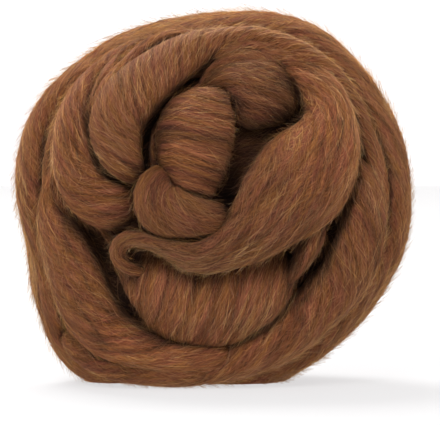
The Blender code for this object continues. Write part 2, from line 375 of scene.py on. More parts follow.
TURNS = (
    Turn("left_outer_loop", Side.FRONT, 0.45, (
        (14, 80, -4, 4, 5, 0.8), (-8, 78, -1, 4, 5, 0.6), (-25, 74.5, -1, 5, 6, 0.5),
        (-40, 68, -1, 6, 7, 0.3), (-52, 58, -1, 8, 8, 0.1), (-60, 45, 0.5, 9.5, 9, 0),
        (-62.5, 30, 1.5, 10.5, 10, 0), (-61.5, 15, 1.5, 11.5, 10, 0), (-56.5, 3, 1, 12, 10, 0),
        (-47, -3, -1, 12, 9, 0), (-36, -4, -14, 9, 8, 0)),
        (1.0, 1.0, 1.0, 1.05, 1.12, 1.1, 1.0, 1.0)),
    Turn("left_rib", Side.FRONT, 0.3, (
        (-14, 76.5, -5, 3, 4, 0.7), (-28, 72, -1, 3.5, 5, 0.4), (-39, 66, 0, 3.5, 5, 0.2),
        (-47, 54.6, 0, 3.5, 5, 0.2), (-52, 42, -1, 3, 5, 0.2), (-54, 30, -6, 2.5, 4, 0.2))),
    Turn("golden_rib", Side.FRONT, 0.3, (
        (2, 76, -5, 3, 4, 0.7), (-14, 74, 0, 4, 5, 0.4), (-27, 69, 1, 4.5, 5, 0.2),
        (-39, 58, 1, 4.5, 5, 0.2), (-47, 48, 1, 4.5, 5, 0.2), (-50.5, 38, -1, 3.5, 5, 0.2),
        (-52, 26, -7, 2.5, 4, 0.2))),
    Turn("horseshoe_turn", Side.FRONT, 0.95, (
        (-32, 7, -13, 4, 6, 0), (-39.5, 17, 1, 9, 10, 0), (-43, 28, 4.5, 12, 13, 0),
        (-40.5, 40, 5, 13.5, 12, 0), (-32.5, 52, 3, 14.5, 11, 0), (-21, 63, 1, 13, 10, 0.1),
        (-9, 71, 0, 11, 9, 0.2), (5, 74.5, -1, 8, 8, 0.4), (19, 75, -1, 6.5, 7.5, 0.4),
        (33, 71, -1, 6.5, 7, 0.4), (46, 64, -1, 7, 8, 0.3), (58, 52, -1, 7, 8, 0.2),
        (67, 37, -2, 6.5, 8, 0.2), (73, 20, -5, 5, 7, 0.2), (76, 4, -14, 3, 5, 0)),
        (0.95, 0.88, 0.92, 1.0, 1.0, 1.0, 1.0, 1.0)),
    Turn("long_right_fold", Side.FRONT, 0.22, (
        (30, 70, -20, 6, 6, 0), (38, 64, -9, 8, 8, 0), (46, 56, -2, 10, 10, 0),
        (51.5, 47, 1, 11, 12, 0), (54, 38, 2, 12.5, 12, 0), (51, 24, 4, 18.5, 13, 0),
        (41.5, 10, 5, 22.5, 14, 0), (29.5, -2.5, 6, 20, 14, 0), (18, -13.5, 5, 15, 13, 0),
        (5, -21.5, 4, 11, 12, 0), (-8, -24.5, 5, 8, 9, 0), (-20, -20.5, 3, 4.5, 6, 0),
        (-31, -17, 2, 4, 6, 0), (-39, -18, 1, 4, 6, 0), (-42.5, -24, 0, 4.2, 6, 0),
        (-38.5, -30, -3, 3.8, 5, 0), (-31, -33, -8, 3.2, 5, 0), (-21, -34, -18, 2.5, 5, 0)),
        (1.15, 1.2, 1.28, 0.92, 0.73, 0.62, 0.8, 1.0)),
    Turn("top_arch", Side.FRONT, -0.6, (
        (-13, 46, -24, 3, 5, 0), (-6, 56, -14, 6, 7, 0.5), (2, 63, -8, 10, 8, 1),
        (11, 67, -5.5, 13, 8, 1), (22, 67.5, -5.5, 13, 8, 1), (32, 64, -7, 11, 8, 1),
        (40, 57, -12, 7, 7, 0.7), (45, 47, -22, 3, 5, 0))),
    Turn("crease_strand", Side.FRONT, 0.2, (
        (6, 66, -15, 3, 5, 0), (-6, 57, -13, 4, 6, 0), (-17, 48, -13, 5, 6, 0),
        (-25, 37, -13, 5.5, 6, 0), (-27, 24, -13, 5.5, 6, 0), (-25, 12, -14, 4.5, 6, 0),
        (-20, 4, -20, 3, 5, 0))),
    Turn("upper_right_fold", Side.FRONT, -0.1, (
        (-12, 52, -23, 3, 6, 0), (-3, 56, -13, 7, 8, 0.4), (6, 58, -6, 12.5, 10, 0.7),
        (14, 56, -3, 18.5, 12, 0.7), (21, 53, -2.5, 22.5, 12, 0.7), (27.5, 52, -4, 21, 12, 0.7),
        (33, 50, -11, 16, 11, 0.4), (37.5, 48, -25, 10, 8, 0)), (0.68,)),
    Turn("middle_knob", Side.FRONT, -0.45, (
        (-23, 25, -27, 13, 8, 0), (-19, 26, -9, 20, 10, 0), (-14.5, 26.5, 1, 24.5, 12, 0),
        (-9, 26, 4.5, 27, 14, 0), (-6, 25.5, 5, 28, 14, 0), (-2.5, 25, 2, 28, 13, 0),
        (0.5, 24.5, -8, 27.5, 12, 0), (3, 24, -28, 26, 11, 0)), (0.97,)),
    Turn("lower_knob", Side.FRONT, -0.65, (
        (-21, 12, -14, 5, 7, 0), (-25, 5, 3, 9, 10, 0), (-23, -3, 7, 13, 12, 0),
        (-13, -7, 7, 11, 11, 0), (-3, -9, 3, 8, 9, 0), (9, -7, -10, 5, 7, 0)), (0.72,)),
    # The lower cushion's first values paint the shade under the fold that overhangs it.
    Turn("lower_cushion", Side.FRONT, -0.35, (
        (0, -18, -34, 26, 9, 0), (-1, -29, -26, 38, 12, 0), (-1.5, -36.5, -11, 42, 14, 0),
        (-2, -44, -2, 44, 15, 0), (-3, -53, -1, 39, 14, 0), (-5, -63, -7, 26, 12, 0),
        (-6, -71, -20, 8, 8, 0)), (0.1, 0.1, 0.1, 0.75, 1.1, 1.05, 1.05, 1.05, 1.05)),
    Turn("left_sweep", Side.FRONT, 0.4, (
        (-75, 28, -15, 3, 5, 0.5), (-77, 11, -8, 4, 6, 0.5), (-78, -4, -4, 7, 8, 0.3),
        (-73, -19, 0, 13, 11, 0.1), (-67, -34, 1, 15, 13, 0), (-60, -49, 2, 15.5, 13, 0),
        (-48, -62.5, 2, 13, 13, 0), (-28, -70.5, 1, 9, 11, 0), (-4, -74, -1, 9, 10, 0.3),
        (18, -75, -8, 8, 8, 0.7), (34, -76, -16, 6, 7, 0.8)),
        (1.2, 1.2, 1.0, 0.88, 1.45, 1.3, 1.05, 1.0)),
    Turn("bottom_fold", Side.FRONT, 0.25, (
        (-74, -54, -9, 4, 6, 0.5), (-65, -66, -2, 6.5, 8, 0.2), (-51, -74, 0.5, 7.5, 8, 0.1),
        (-32, -78, 0.5, 8.5, 8, 0.1), (-8, -79, -0.5, 9.5, 8, 0.4), (14, -79, -8, 7, 6, 1))),
    Turn("left_inner_ribbon", Side.FRONT, 0.2, (
        (-68, 2, -18, 2, 4, 0), (-58, -10, -13, 4, 5, 0), (-51, -19, -15, 4, 5, 0),
        (-46, -30, -16, 4, 5, 0), (-41, -44, -22, 3, 5, 0))),
    Turn("small_tuck", Side.FRONT, 0.0, (
        (-46, -33, -16, 3, 5, 0), (-37, -36, -8, 3.5, 5, 0), (-25, -38, -7, 3.5, 5, 0),
        (-11, -39, -15, 3, 5, 0))),
    Turn("right_sweep", Side.FRONT, 0.55, (
        (-48, -88, -10, 5, 6, 1), (-24, -84, -3, 7, 7, 0.9), (-2, -80, -1, 9, 8, 0.8),
        (18, -74, 0, 11.5, 10, 0.5), (34, -65.5, 1, 13, 11, 0.2), (48, -54, 1, 14, 12, 0),
        (60, -39, 3, 14, 12, 0), (66.5, -22, 3, 12.5, 11, 0), (69.5, -5, 2, 10.5, 10, 0),
        (70, 10, -3, 7, 8, 0), (67.5, 24, -15, 3, 6, 0)),
        (1.0, 1.0, 1.05, 1.14, 1.05, 0.83, 0.9, 1.0)),
    Turn("right_tuck", Side.FRONT, 0.3, (
        (50, -3, -14, 4, 6, 0), (48, -14, -5, 5.5, 8, 0), (44, -24, -4, 5.5, 8, 0),
        (38, -35, -6, 4, 7, 0), (29, -49, -13, 3, 6, 0))),
    Turn("hidden_bight", Side.FRONT, 0.2, (
        (22, 52, -34, 8, 8, 0), (16, 34, -26, 9, 8, 0), (13, 14, -26, 8, 8, 0),
        (20, -4, -34, 8, 8, 0)), (0.45,)),
    Turn("back_low_turn", Side.BACK, 0.35, (
        (-81, 6, -12, 4, 6, 0), (-74, -20, -1, 10, 10, 0), (-60, -42, 1, 15, 13, 0),
        (-32, -57, 2, 17, 14, 0), (0, -62, 2, 17, 14, 0), (34, -55, 1, 16, 13, 0),
        (60, -34, 0, 13, 12, 0), (74, -8, -4, 9, 9, 0), (76, 14, -14, 4, 6, 0))),
    Turn("back_left_turn", Side.BACK, 0.5, (
        (-14, 79, -12, 5, 6, 0), (-36, 63, 0, 13, 11, 0), (-51, 42, 2, 17, 13, 0),
        (-56, 16, 2, 18, 14, 0), (-54, -10, 1, 17, 13, 0), (-46, -32, -4, 14, 11, 0),
        (-35, -50, -16, 8, 8, 0))),
    Turn("back_right_turn", Side.BACK, -0.3, (
        (16, 80, -12, 5, 6, 0), (40, 66, 0, 13, 11, 0), (56, 44, 2, 17, 13, 0),
        (61, 16, 2, 17, 14, 0), (57, -10, 1, 15, 13, 0), (47, -32, -5, 11, 10, 0),
        (37, -48, -16, 6, 8, 0))),
    Turn("back_top_turn", Side.BACK, 0.4, (
        (-28, 77, -12, 6, 7, 0), (-6, 68, 1, 14, 12, 0), (14, 54, 3, 18, 13, 0),
        (26, 34, 2, 18, 13, 0), (27, 14, -3, 15, 12, 0), (22, -6, -18, 9, 9, 0))),
    Turn("back_inner_turn", Side.BACK, -0.3, (
        (-32, 58, -14, 7, 8, 0), (-24, 40, -3, 14, 12, 0), (-12, 24, -3, 15, 12, 0),
        (4, 8, -18, 9, 9, 0))),
    Turn("back_cross_turn", Side.BACK, 0.45, (
        (-72, 35, -18, 5, 7, 0), (-56, 30, -1, 11, 11, 0), (-38, 20, 4, 16, 13, 0),
        (-16, 6, 6, 18, 14, 0), (6, -10, 6, 18, 14, 0), (27, -27, 4, 16, 13, 0),
        (46, -42, 0, 12, 11, 0), (63, -56, -14, 5, 7, 0))),
    Turn("back_tucked_turn", Side.BACK, -0.25, (
        (-46, -12, -14, 8, 9, 0), (-32, -24, 0, 15, 12, 0), (-14, -36, 2, 16, 13, 0),
        (6, -46, -1, 14, 12, 0), (24, -55, -14, 7, 8, 0))),
    Turn("right_cross", Side.RIM, 0.4, (
        (-86, -8, -13, 5, 7, 0), (-68, -5, -2, 9, 9, 0), (-45, 2, 1, 11, 10, 0),
        (-20, 11, 2, 12, 10, 0), (5, 20, 2, 12, 10, 0), (30, 28, 1, 11, 10, 0),
        (50, 35, -4, 9, 9, 0), (66, 41, -15, 5, 7, 0))),
    Turn("top_cross", Side.RIM, 0.4, (
        (44, 38, -14, 5, 7, 0), (62, 29, -1, 10, 9, 0), (84, 17, 1.5, 12, 10, 0),
        (106, 7, 1.5, 12, 10, 0), (128, -2, 0, 10, 9, 0), (146, -9, -12, 5, 7, 0))),
    Turn("left_cross", Side.RIM, -0.3, (
        (136, 40, -14, 5, 7, 0), (154, 31, -1, 10, 9, 0), (176, 19, 1.5, 12, 10, 0),
        (198, 8, 1.5, 12, 10, 0), (220, 0, 0, 11, 9, 0), (242, -8, -12, 6, 7, 0))),
    Turn("front_rim", Side.RIM, 0.35, (
        (-100, -26, -12, 6, 7, 0), (-80, -26, -5, 10, 9, 0), (-45, -23, -6, 8, 8, 0),
        (-10, -23, -6.5, 8, 8, 0), (25, -26, -5, 9.5, 9, 0), (60, -27, -3.5, 11, 9, 0),
        (95, -25, -4, 10, 9, 0), (130, -24, -4, 10, 9, 0), (165, -24, -8, 12, 9, 0),
        (200, -24, -7, 11, 9, 0), (235, -24, -5, 10, 9, 0), (262, -26, -12, 6, 7, 0)),
        (1.0, 1.0, 1.1, 1.2, 1.1, 1.0, 1.0, 1.05, 1.05, 1.3, 1.2, 1.0)),
    Turn("middle_rim", Side.RIM, 0.4, (
        (-105, 2, -12, 8, 8, 0), (-85, 0, -1, 14, 12, 0), (-62, 5, 0, 17, 12, 0),
        (-40, -6, 0, 14, 12, 0), (-15, -9, 0, 13, 12, 0), (10, -5, 0, 14, 12, 0),
        (35, 3, 0, 18, 12, 0), (60, 5, 0, 17, 12, 0), (85, -5, 0, 14, 12, 0),
        (108, -8, 0, 13, 12, 0), (130, 2, 0, 16, 12, 0), (155, 3, 0, 16, 12, 0),
        (180, -6, 0, 14, 12, 0), (205, -5, 0, 14, 12, 0), (235, 4, 0, 17, 12, 0),
        (258, 1, -12, 8, 8, 0))),
    Turn("back_rim", Side.RIM, 0.3, (
        (-96, 24, -12, 8, 8, 0), (-76, 22, -2, 12, 11, 0), (-52, 28, -1, 14, 11, 0),
        (-30, 36, -1, 12, 11, 0), (-8, 40, -2, 11, 11, 0), (15, 36, -2, 12, 11, 0),
        (38, 25, -1, 15, 11, 0), (62, 27, -2, 14, 11, 0), (88, 37, -2, 12, 11, 0),
        (112, 30, -1, 14, 11, 0), (135, 24, -1, 15, 11, 0), (158, 30, -2, 13, 11, 0),
        (182, 38, -2, 11, 11, 0), (206, 33, -1, 13, 11, 0), (232, 27, -1, 14, 11, 0),
        (262, 24, -12, 8, 8, 0))),
)


@dataclass
class TurnSkin:
    """The combed skin of one turn, as a grid of points: one row for each section along the roving.

    Across holds each point's distance round the widest section, and along each section's distance
    from the turn's start. Spread is the real distance of each point from the middle of its section.
    Clear is how far the skin is from the bottom of a groove; it paints shade into the grooves.
    """

    turn: Turn
    points: np.ndarray
    across: np.ndarray
    along: np.ndarray
    spread: np.ndarray
    clear: np.ndarray | float = 1.0

    @property
    def run(self) -> float:
        """The length of the turn, in millimetres."""
        return float(self.along[-1])

    @property
    def girth(self) -> float:
        """The distance round the turn's widest section, in millimetres."""
        spacing = self.across[1] - self.across[0]
        return float(self.across[-1] - self.across[0] + spacing)

    def normals(self) -> np.ndarray:
        """Find the directions that point out of the skin.

        Returns:
            The direction at each point, at length 1.
        """
        round_it = np.roll(self.points, -1, 1) - np.roll(self.points, 1, 1)
        normals = unit(np.cross(np.gradient(self.points, axis=0), round_it))
        middle = self.points.mean(axis=1, keepdims=True)
        return normals * np.sign(np.median((normals * (self.points - middle)).sum(axis=-1)))

    def faces(self) -> list[tuple[int, ...]]:
        """List the quads of the skin and the small caps that close its two ends.

        Returns:
            The corners of each face, by their numbers in the grid.
        """
        count, ring = self.points.shape[:2]
        faces = []
        for row in range(count - 1):
            here, there = row * ring, (row + 1) * ring
            for spot in range(ring):
                after = (spot + 1) % ring
                faces.append((here + spot, there + spot, there + after, here + after))
        last = (count - 1) * ring
        faces.append(tuple(range(ring)))
        faces.append(tuple(range(last, last + ring))[::-1])
        return faces


@dataclass(frozen=True)
class Winder:
    """Winds the turns over the base form and combs their skins.

    A section is a superellipse: its power is full for a rounded side, and lower for a side that
    thins out. Its hidden underside gets fewer points.
    """

    base: BaseForm = BaseForm()
    combing: Combing = Combing()
    spacing_along: float = 2.8
    spacing_across: float = 0.95
    samples_per_row: int = 16
    section_samples: int = 1441
    fewest_sections: int = 12
    fewest_spots: int = 20
    hidden_below: float = -0.45
    hidden_share: float = 0.2
    full_power: float = 2.3
    thin_wide_power: float = 2.0
    thin_high_power: float = 1.0
    smoothing: float = 3.0
    smoothing_reach: float = 3.0
    end_rounding: float = 7.0
    end_left: float = 0.02
    narrow_left: float = 0.2
    widest_angle: float = 1.2
    steepest_dive: float = 0.85
    view_lean: float = 0.07
    core_middle_share: float = 0.58
    core_rim_share: float = 0.84
    core_rows: int = 60
    core_spots: int = 90
    core_end_gap: float = 0.04
    core_twist: float = 0.3
    core_shade: float = 0.6

    def superellipse(self, angle: np.ndarray, wide_power: float | np.ndarray,
                     high_power: float | np.ndarray) -> tuple[np.ndarray, np.ndarray]:
        """Shape a section of half width 1 and half thickness 1.

        Args:
            angle: the points' angles round the section, from the middle of its left side.
            wide_power: how square it is across.
            high_power: how square it is in thickness.

        Returns:
            The points' places across and in thickness.
        """
        wide = -np.sign(np.cos(angle)) * np.abs(np.cos(angle)) ** (2 / wide_power)
        high = np.sign(np.sin(angle)) * np.abs(np.sin(angle)) ** (2 / high_power)
        return wide, high

    def section(self, half_width: float, half_thick: float) -> tuple[np.ndarray, np.ndarray]:
        """Spread points round a section, evenly over its outer side and sparser over the underside.

        Args:
            half_width: the section's half width, in millimetres.
            half_thick: its half thickness.

        Returns:
            The points' angles round the section, and their distance round it.
        """
        angle = np.linspace(-np.pi / 2, 1.5 * np.pi, self.section_samples)
        wide, high = self.superellipse(angle, self.full_power, self.full_power)
        steps = np.hypot(np.diff(wide) * half_width, np.diff(high) * half_thick)
        round_it = np.append(0.0, np.cumsum(steps))
        weight = np.where(high[:-1] > self.hidden_below, 1.0, self.hidden_share)
        even = np.append(0.0, np.cumsum(steps * weight))
        count = max(self.fewest_spots, int(even[-1] / self.spacing_across))
        spots = np.linspace(0.0, even[-1], count, endpoint=False)
        return np.interp(spots, even, angle), np.interp(spots, even, round_it)

    def soften(self, column: np.ndarray) -> np.ndarray:
        """Smooth a column of a turn's table, and keep its two ends.

        Args:
            column: the column's value at each section.

        Returns:
            The smoothed values.
        """
        reach = int(self.smoothing_reach * self.smoothing / self.spacing_along)
        kernel = np.exp(
            -0.5 * (np.arange(-reach, reach + 1) * self.spacing_along / self.smoothing) ** 2)
        kernel /= kernel.sum()
        before = 2 * column[0] - column[reach:0:-1]
        after = 2 * column[-1] - column[-2:-reach - 2:-1]
        return np.convolve(np.concatenate([before, column, after]), kernel, mode="valid")

    def stations(self, turn: Turn) -> tuple[np.ndarray, np.ndarray, np.ndarray]:
        """Space a turn's sections evenly along it.

        Args:
            turn: the turn's table.

        Returns:
            Each section's place on the base form, its other columns, and its distance along.
        """
        rows = smooth_rows(np.array(turn.rows, dtype=float), self.samples_per_row)
        places = self.places(turn, rows)
        length = np.append(0.0, np.cumsum(np.linalg.norm(np.diff(places, axis=0), axis=1)))
        count = max(self.fewest_sections, int(length[-1] / self.spacing_along) + 1)
        along = np.linspace(0.0, length[-1], count)
        columns = np.column_stack([
            self.soften(np.interp(along, length, column)) for column in rows.T])
        return self.places(turn, columns), columns[:, 2:], along

    def places(self, turn: Turn, rows: np.ndarray) -> np.ndarray:
        """Find where a turn's rows lie on the base form.

        Args:
            turn: the turn.
            rows: the rows. Those of the front are seen from a little above.

        Returns:
            Their places.
        """
        if turn.side is Side.RIM:
            return self.base.rim_places(rows[:, 0], rows[:, 1])
        places = self.base.face_places(rows[:, 0], rows[:, 1], turn.side)
        if turn.side is Side.FRONT:
            raised = rows[:, 1] + self.view_lean * np.abs(places[:, 1])
            places = self.base.face_places(rows[:, 0], raised, turn.side)
        return places

    def wind(self, turn: Turn, seed: int) -> TurnSkin:
        """Wind one turn and comb its skin.

        Args:
            turn: the turn's table.
            seed: the number that its locks and ribs are drawn from.

        Returns:
            The skin, in millimetres.
        """
        places, columns, along = self.stations(turn)
        lift, half_width, half_thick, edge = columns.T
        from_end = np.clip(np.minimum(along, along[-1] - along) / self.end_rounding, 0, 1)
        rounded = np.sqrt(np.clip(1 - (1 - from_end) ** 2, self.end_left, 1))
        half_width, half_thick = half_width * rounded, half_thick * rounded
        angle, across = self.section(half_width.max(), half_thick.mean())
        thin = np.clip(edge, 0.0, 1.0)[:, None]
        wide, high = self.superellipse(
            angle, self.full_power + (self.thin_wide_power - self.full_power) * thin,
            self.full_power + (self.thin_high_power - self.full_power) * thin)
        outward = self.base.outward(places)
        middle = places + outward * (lift - half_thick)[:, None]
        heading = unit(np.gradient(middle, axis=0))[:, None, :]
        sideways = unit(np.cross(outward, np.gradient(places, axis=0)))[:, None, :]
        reach = np.linalg.norm(places, axis=1)[:, None]
        turned = np.clip(wide * half_width[:, None] / reach, -self.widest_angle, self.widest_angle)
        feet = self.base.onto(places[:, None, :] + sideways * (reach * np.tan(turned))[..., None])
        normals = self.base.outward(feet)
        dive = (normals * heading).sum(axis=-1, keepdims=True)
        tipped = unit(normals - np.clip(dive, -self.steepest_dive, self.steepest_dive) * heading)
        points = feet + normals * (lift - half_thick)[:, None, None]
        points = points + tipped * (high * half_thick[:, None])[..., None]
        share = np.clip(half_width / half_width.max(), self.narrow_left, 1.0)[:, None]
        skin = TurnSkin(turn, points, across, along, (across - across.mean()) * share)
        relief, skin.clear = self.combing.relief(skin.spread, along[:, None] + 0 * across, seed)
        skin.points = points + skin.normals() * (relief * share)[..., None]
        return skin

    def wind_core(self, seed: int) -> TurnSkin:
        """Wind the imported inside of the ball, which shows dimly in the deepest folds.

        Args:
            seed: the number that its locks and ribs are drawn from.

        Returns:
            The skin, in millimetres, with its two ends at the left and right.
        """
        end = np.pi / 2 - self.core_end_gap
        lean = np.linspace(-end, end, self.core_rows)[:, None]
        turn = np.linspace(2 * np.pi, 0.0, self.core_spots, endpoint=False)
        ways = np.stack([
            np.sin(lean) + 0 * turn, np.cos(lean) * np.cos(turn), np.cos(lean) * np.sin(turn)],
            axis=-1)
        on_base = self.base.onto(ways)
        rim = 1 - np.abs(on_base[..., 1:2]) / self.base.half_depth
        share = self.core_middle_share + (self.core_rim_share - self.core_middle_share) * rim
        across = (2 * np.pi - turn) * self.base.half_depth
        along = (lean - lean[0]) * self.base.half_depth
        # The packed inside is darkened all over with painted shade, as it shows only deep in the
        # folds.
        packed = Turn("packed_inside", Side.RIM, self.core_twist, (), (self.core_shade,))
        skin = TurnSkin(packed, on_base * share, across, along[:, 0], across + 0 * lean)
        relief, skin.clear = self.combing.relief(skin.spread, along + 0 * turn, seed)
        skin.points = skin.points + skin.normals() * relief[..., None]
        return skin


def combed_noise(tree: bpy.types.NodeTree, place: bpy.types.NodeSocket | bpy.types.Node,
                 size: tuple[float, float], detail: float,
                 roughness: float) -> bpy.types.NodeSocket:
    """Add noise that is drawn out along the roving.

    Args:
        tree: the tree that gets it.
        place: places across and along the roving, in millimetres, and which turn it is.
        size: the width and the length of its swells, in millimetres.
        detail: how many finer layers of swells it has.
        roughness: how strong the finer layers are.

    Returns:
        The noise, which is 0.5 at its middle.
    """
    scaled = add_node(
        tree, VECTOR_MATH, (place, (1 / size[0], 1 / size[1], 1.0)), operation="MULTIPLY")
    return add_node(tree, NOISE, {
        "Vector": scaled, "Scale": 1.0, "Detail": detail, "Roughness": roughness}).outputs["Fac"]


@dataclass(frozen=True)
class PartingShade:
    """Painted shade in the thin creases where the locks of combed wool part, a few to a turn."""

    size: tuple[float, float] = (7.0, 110.0)
    width: float = 0.06

    def darken(self, tree: bpy.types.NodeTree, lay: bpy.types.NodeSocket, shade: float,
               roughness: float) -> bpy.types.Node:
        """Add the painted shade of the partings to the tone of the wool.

        Args:
            tree: the tree that gets it.
            lay: the lay of the wool.
            shade: how much darker the middle of a parting is.
            roughness: how ragged the partings are.

        Returns:
            A node that gives nothing on the locks and minus the shade between them.
        """
        beside = add_node(tree, MATH, (combed_noise(tree, lay, self.size, 1.0, roughness), 0.5),
                          operation="SUBTRACT")
        beside = add_node(tree, MATH, (beside,), operation="ABSOLUTE")
        return add_node(tree, MAP_RANGE, (beside, 0.0, self.width, -shade, 0.0),
                        interpolation_type="SMOOTHSTEP")


@dataclass(frozen=True)
class BuriedShade:
    """How wool darkens where other turns bury it, as light is lost among the fibres there.

    Left is what remains of its red, green and blue at the bottom of a fold, and clear_from is the
    openness from which the colour is whole.
    """

    left: tuple[float, float, float] = (0.13, 0.14, 0.25)
    clear_from: float = 0.8

    def apply(self, tree: bpy.types.NodeTree, colour: bpy.types.Node) -> bpy.types.Node:
        """Darken a colour with painted shade by how openly the wool lies, and by the turn's painted
        light and shade.

        Args:
            tree: the material's tree.
            colour: the colour of openly lying wool.

        Returns:
            The darkened colour.
        """
        clear = add_node(tree, ATTRIBUTE, attribute_name="open")
        left = add_node(tree, MAP_RANGE, {
            6: clear.outputs["Fac"], 7: (0.0,) * 3, 8: (self.clear_from,) * 3,
            9: self.left, 10: (1.0,) * 3},
            data_type="FLOAT_VECTOR", interpolation_type="SMOOTHSTEP")
        # The turn's painted light and shade: lighter where it stands in more light, darker in
        # shade.
        shade = add_node(tree, ATTRIBUTE, attribute_name="shade")
        own = add_node(
            tree, VECTOR_MATH, {0: colour, "Scale": shade.outputs["Fac"]}, operation="SCALE")
        return add_node(tree, VECTOR_MATH, (own, left.outputs["Vector"]), operation="MULTIPLY")


def set_stops(ramp: bpy.types.ColorRamp, stops: dict[float, str]) -> None:
    """Set a ramp's colours.

    Args:
        ramp: a new ramp, which has two stops.
        stops: the sRGB hex colour at each place, in rising order.
    """
    for at, (place, code) in enumerate(stops.items()):
        stop = ramp.elements[at] if at < NEW_RAMP_STOPS else ramp.elements.new(place)
        stop.position, stop.color = place, linear_colour(code)


@dataclass(frozen=True)
class WoolFinish:
    """Brown wool, combed into a sliver: matt and soft, in wavy streaks of its natural tones.

    Wool scatters light off its scales, so it is rough and shines only faintly where it turns away.
    The eye sees crimped hairs that cross at a slight lean, golden, red-brown and dark, and the
    partings between the locks, darkened with painted shade. Painted shade also darkens the wool
    deep in the folds, and painted light and shade lighten or darken each turn along its length.
    Sizes are in millimetres: the width across the roving and the length along it. A real hair is
    too fine to show, so hairs are drawn half a millimetre wide.
    """

    name: str = "brown_combed_wool"
    dark: str = "442412"
    middle: str = "76432a"
    light: str = "a06843"
    tone_stops: tuple[float, float, float] = (0.2, 0.52, 0.84)
    rosy: str = "fff2ff"
    olive: str = "fcffd0"
    tint_stops: tuple[float, float] = (0.4, 0.6)
    roughness: float = 0.75
    specular: float = 0.2
    sheen: float = 0.14
    sheen_roughness: float = 0.4
    sheen_tint: str = "dc9a5e"
    hair: tuple[float, float] = (0.5, 7.0)
    hair_stops: tuple[float, float] = (0.36, 0.68)
    hair_draws: tuple[float, float] = (3.0, 19.0)
    streak: tuple[float, float] = (1.1, 30.0)
    patch: tuple[float, float] = (8.0, 45.0)
    grain: tuple[float, float] = (0.45, 1.3)
    tone: tuple[float, float] = (3.5, 18.0)
    crimp: tuple[float, float] = (2.6, 4.5)
    crimp_sway: float = 2.0
    lean: float = 0.36
    ragged: float = 0.6
    hair_share: float = 0.4
    streak_share: float = 0.28
    patch_share: float = 0.14
    grain_share: float = 0.28
    parting: PartingShade = PartingShade()
    parting_shade: float = 0.17
    bump_height: float = 0.42
    buried: BuriedShade = BuriedShade()

    def hairs(self, tree: bpy.types.NodeTree, lay: bpy.types.NodeSocket, lean: float,
              draw: float) -> bpy.types.Node:
        """Add a layer of crimped hairs.

        Args:
            tree: the material's tree.
            lay: the lay of the wool.
            lean: how far the hairs lean across the roving for each step along it.
            draw: a number that sets this layer apart.

        Returns:
            A node that gives 1 on the hairs and 0 between them.
        """
        spot = add_node(tree, SEPARATE, (lay,))
        crimp = combed_noise(tree, lay, self.crimp, 1.0, self.ragged)
        across = add_node(
            tree, MATH, (crimp, self.crimp_sway, spot.outputs["X"]), operation="MULTIPLY_ADD")
        across = add_node(tree, MATH, (spot.outputs["Y"], lean, across), operation="MULTIPLY_ADD")
        place = add_node(tree, COMBINE, (across, spot.outputs["Y"], spot.outputs["Z"]))
        place = add_node(tree, VECTOR_MATH, (place, (draw,) * 3), operation="ADD")
        hair = combed_noise(tree, place, self.hair, 2.0, self.ragged)
        return add_node(tree, MAP_RANGE, (hair, *self.hair_stops, 0.0, 1.0),
                        interpolation_type="SMOOTHSTEP")

    def colour(self, tree: bpy.types.NodeTree, lay: bpy.types.NodeSocket,
               crossing: bpy.types.Node) -> bpy.types.Node:
        """Add the colour of openly lying wool.

        Args:
            tree: the material's tree.
            lay: the lay of the wool.
            crossing: the two layers of crossing hairs.

        Returns:
            The colour.
        """
        mixed = add_node(tree, MATH, (crossing, self.hair_share), operation="MULTIPLY")
        for size, share in (
                (self.streak, self.streak_share), (self.patch, self.patch_share),
                (self.grain, self.grain_share)):
            noise = combed_noise(tree, lay, size, 2.0, self.ragged)
            mixed = add_node(tree, MATH, (noise, share, mixed), operation="MULTIPLY_ADD")
        # Painted shade in the partings between the locks.
        parting = self.parting.darken(tree, lay, self.parting_shade, self.ragged)
        mixed = add_node(tree, MATH, (mixed, parting), operation="ADD")
        tones = add_node(tree, RAMP, (mixed,))
        set_stops(
            tones.color_ramp, dict(zip(self.tone_stops, (self.dark, self.middle, self.light))))
        tints = add_node(tree, RAMP, (combed_noise(tree, lay, self.tone, 2.0, self.ragged),))
        set_stops(tints.color_ramp, dict(zip(self.tint_stops, (self.rosy, self.olive))))
        return add_node(tree, VECTOR_MATH, (tones, tints), operation="MULTIPLY")

    def make(self) -> bpy.types.Material:
        """Make the material of the turns' skins.

        Returns:
            The material.
        """
        material = bpy.data.materials.new(self.name)
        material.use_nodes = True
        tree = material.node_tree
        tree.nodes.clear()
        lay = add_node(tree, ATTRIBUTE, attribute_name="lay").outputs["Vector"]
        one_way, other_way = self.hair_draws
        crossing = add_node(tree, MATH, (
            self.hairs(tree, lay, self.lean, one_way),
            self.hairs(tree, lay, -self.lean, other_way)),
            operation="MAXIMUM")
        bump = add_node(tree, "ShaderNodeBump", {
            "Height": crossing, "Distance": self.bump_height * MM, "Strength": 1.0})
        shader = add_node(tree, SHADER, {
            "Base Color": self.buried.apply(tree, self.colour(tree, lay, crossing)), "Normal": bump,
            "Roughness": self.roughness, "Specular IOR Level": self.specular,
            "Sheen Weight": self.sheen, "Sheen Roughness": self.sheen_roughness,
            "Sheen Tint": linear_colour(self.sheen_tint)})
        add_node(tree, "ShaderNodeOutputMaterial", {"Surface": shader})
        return material


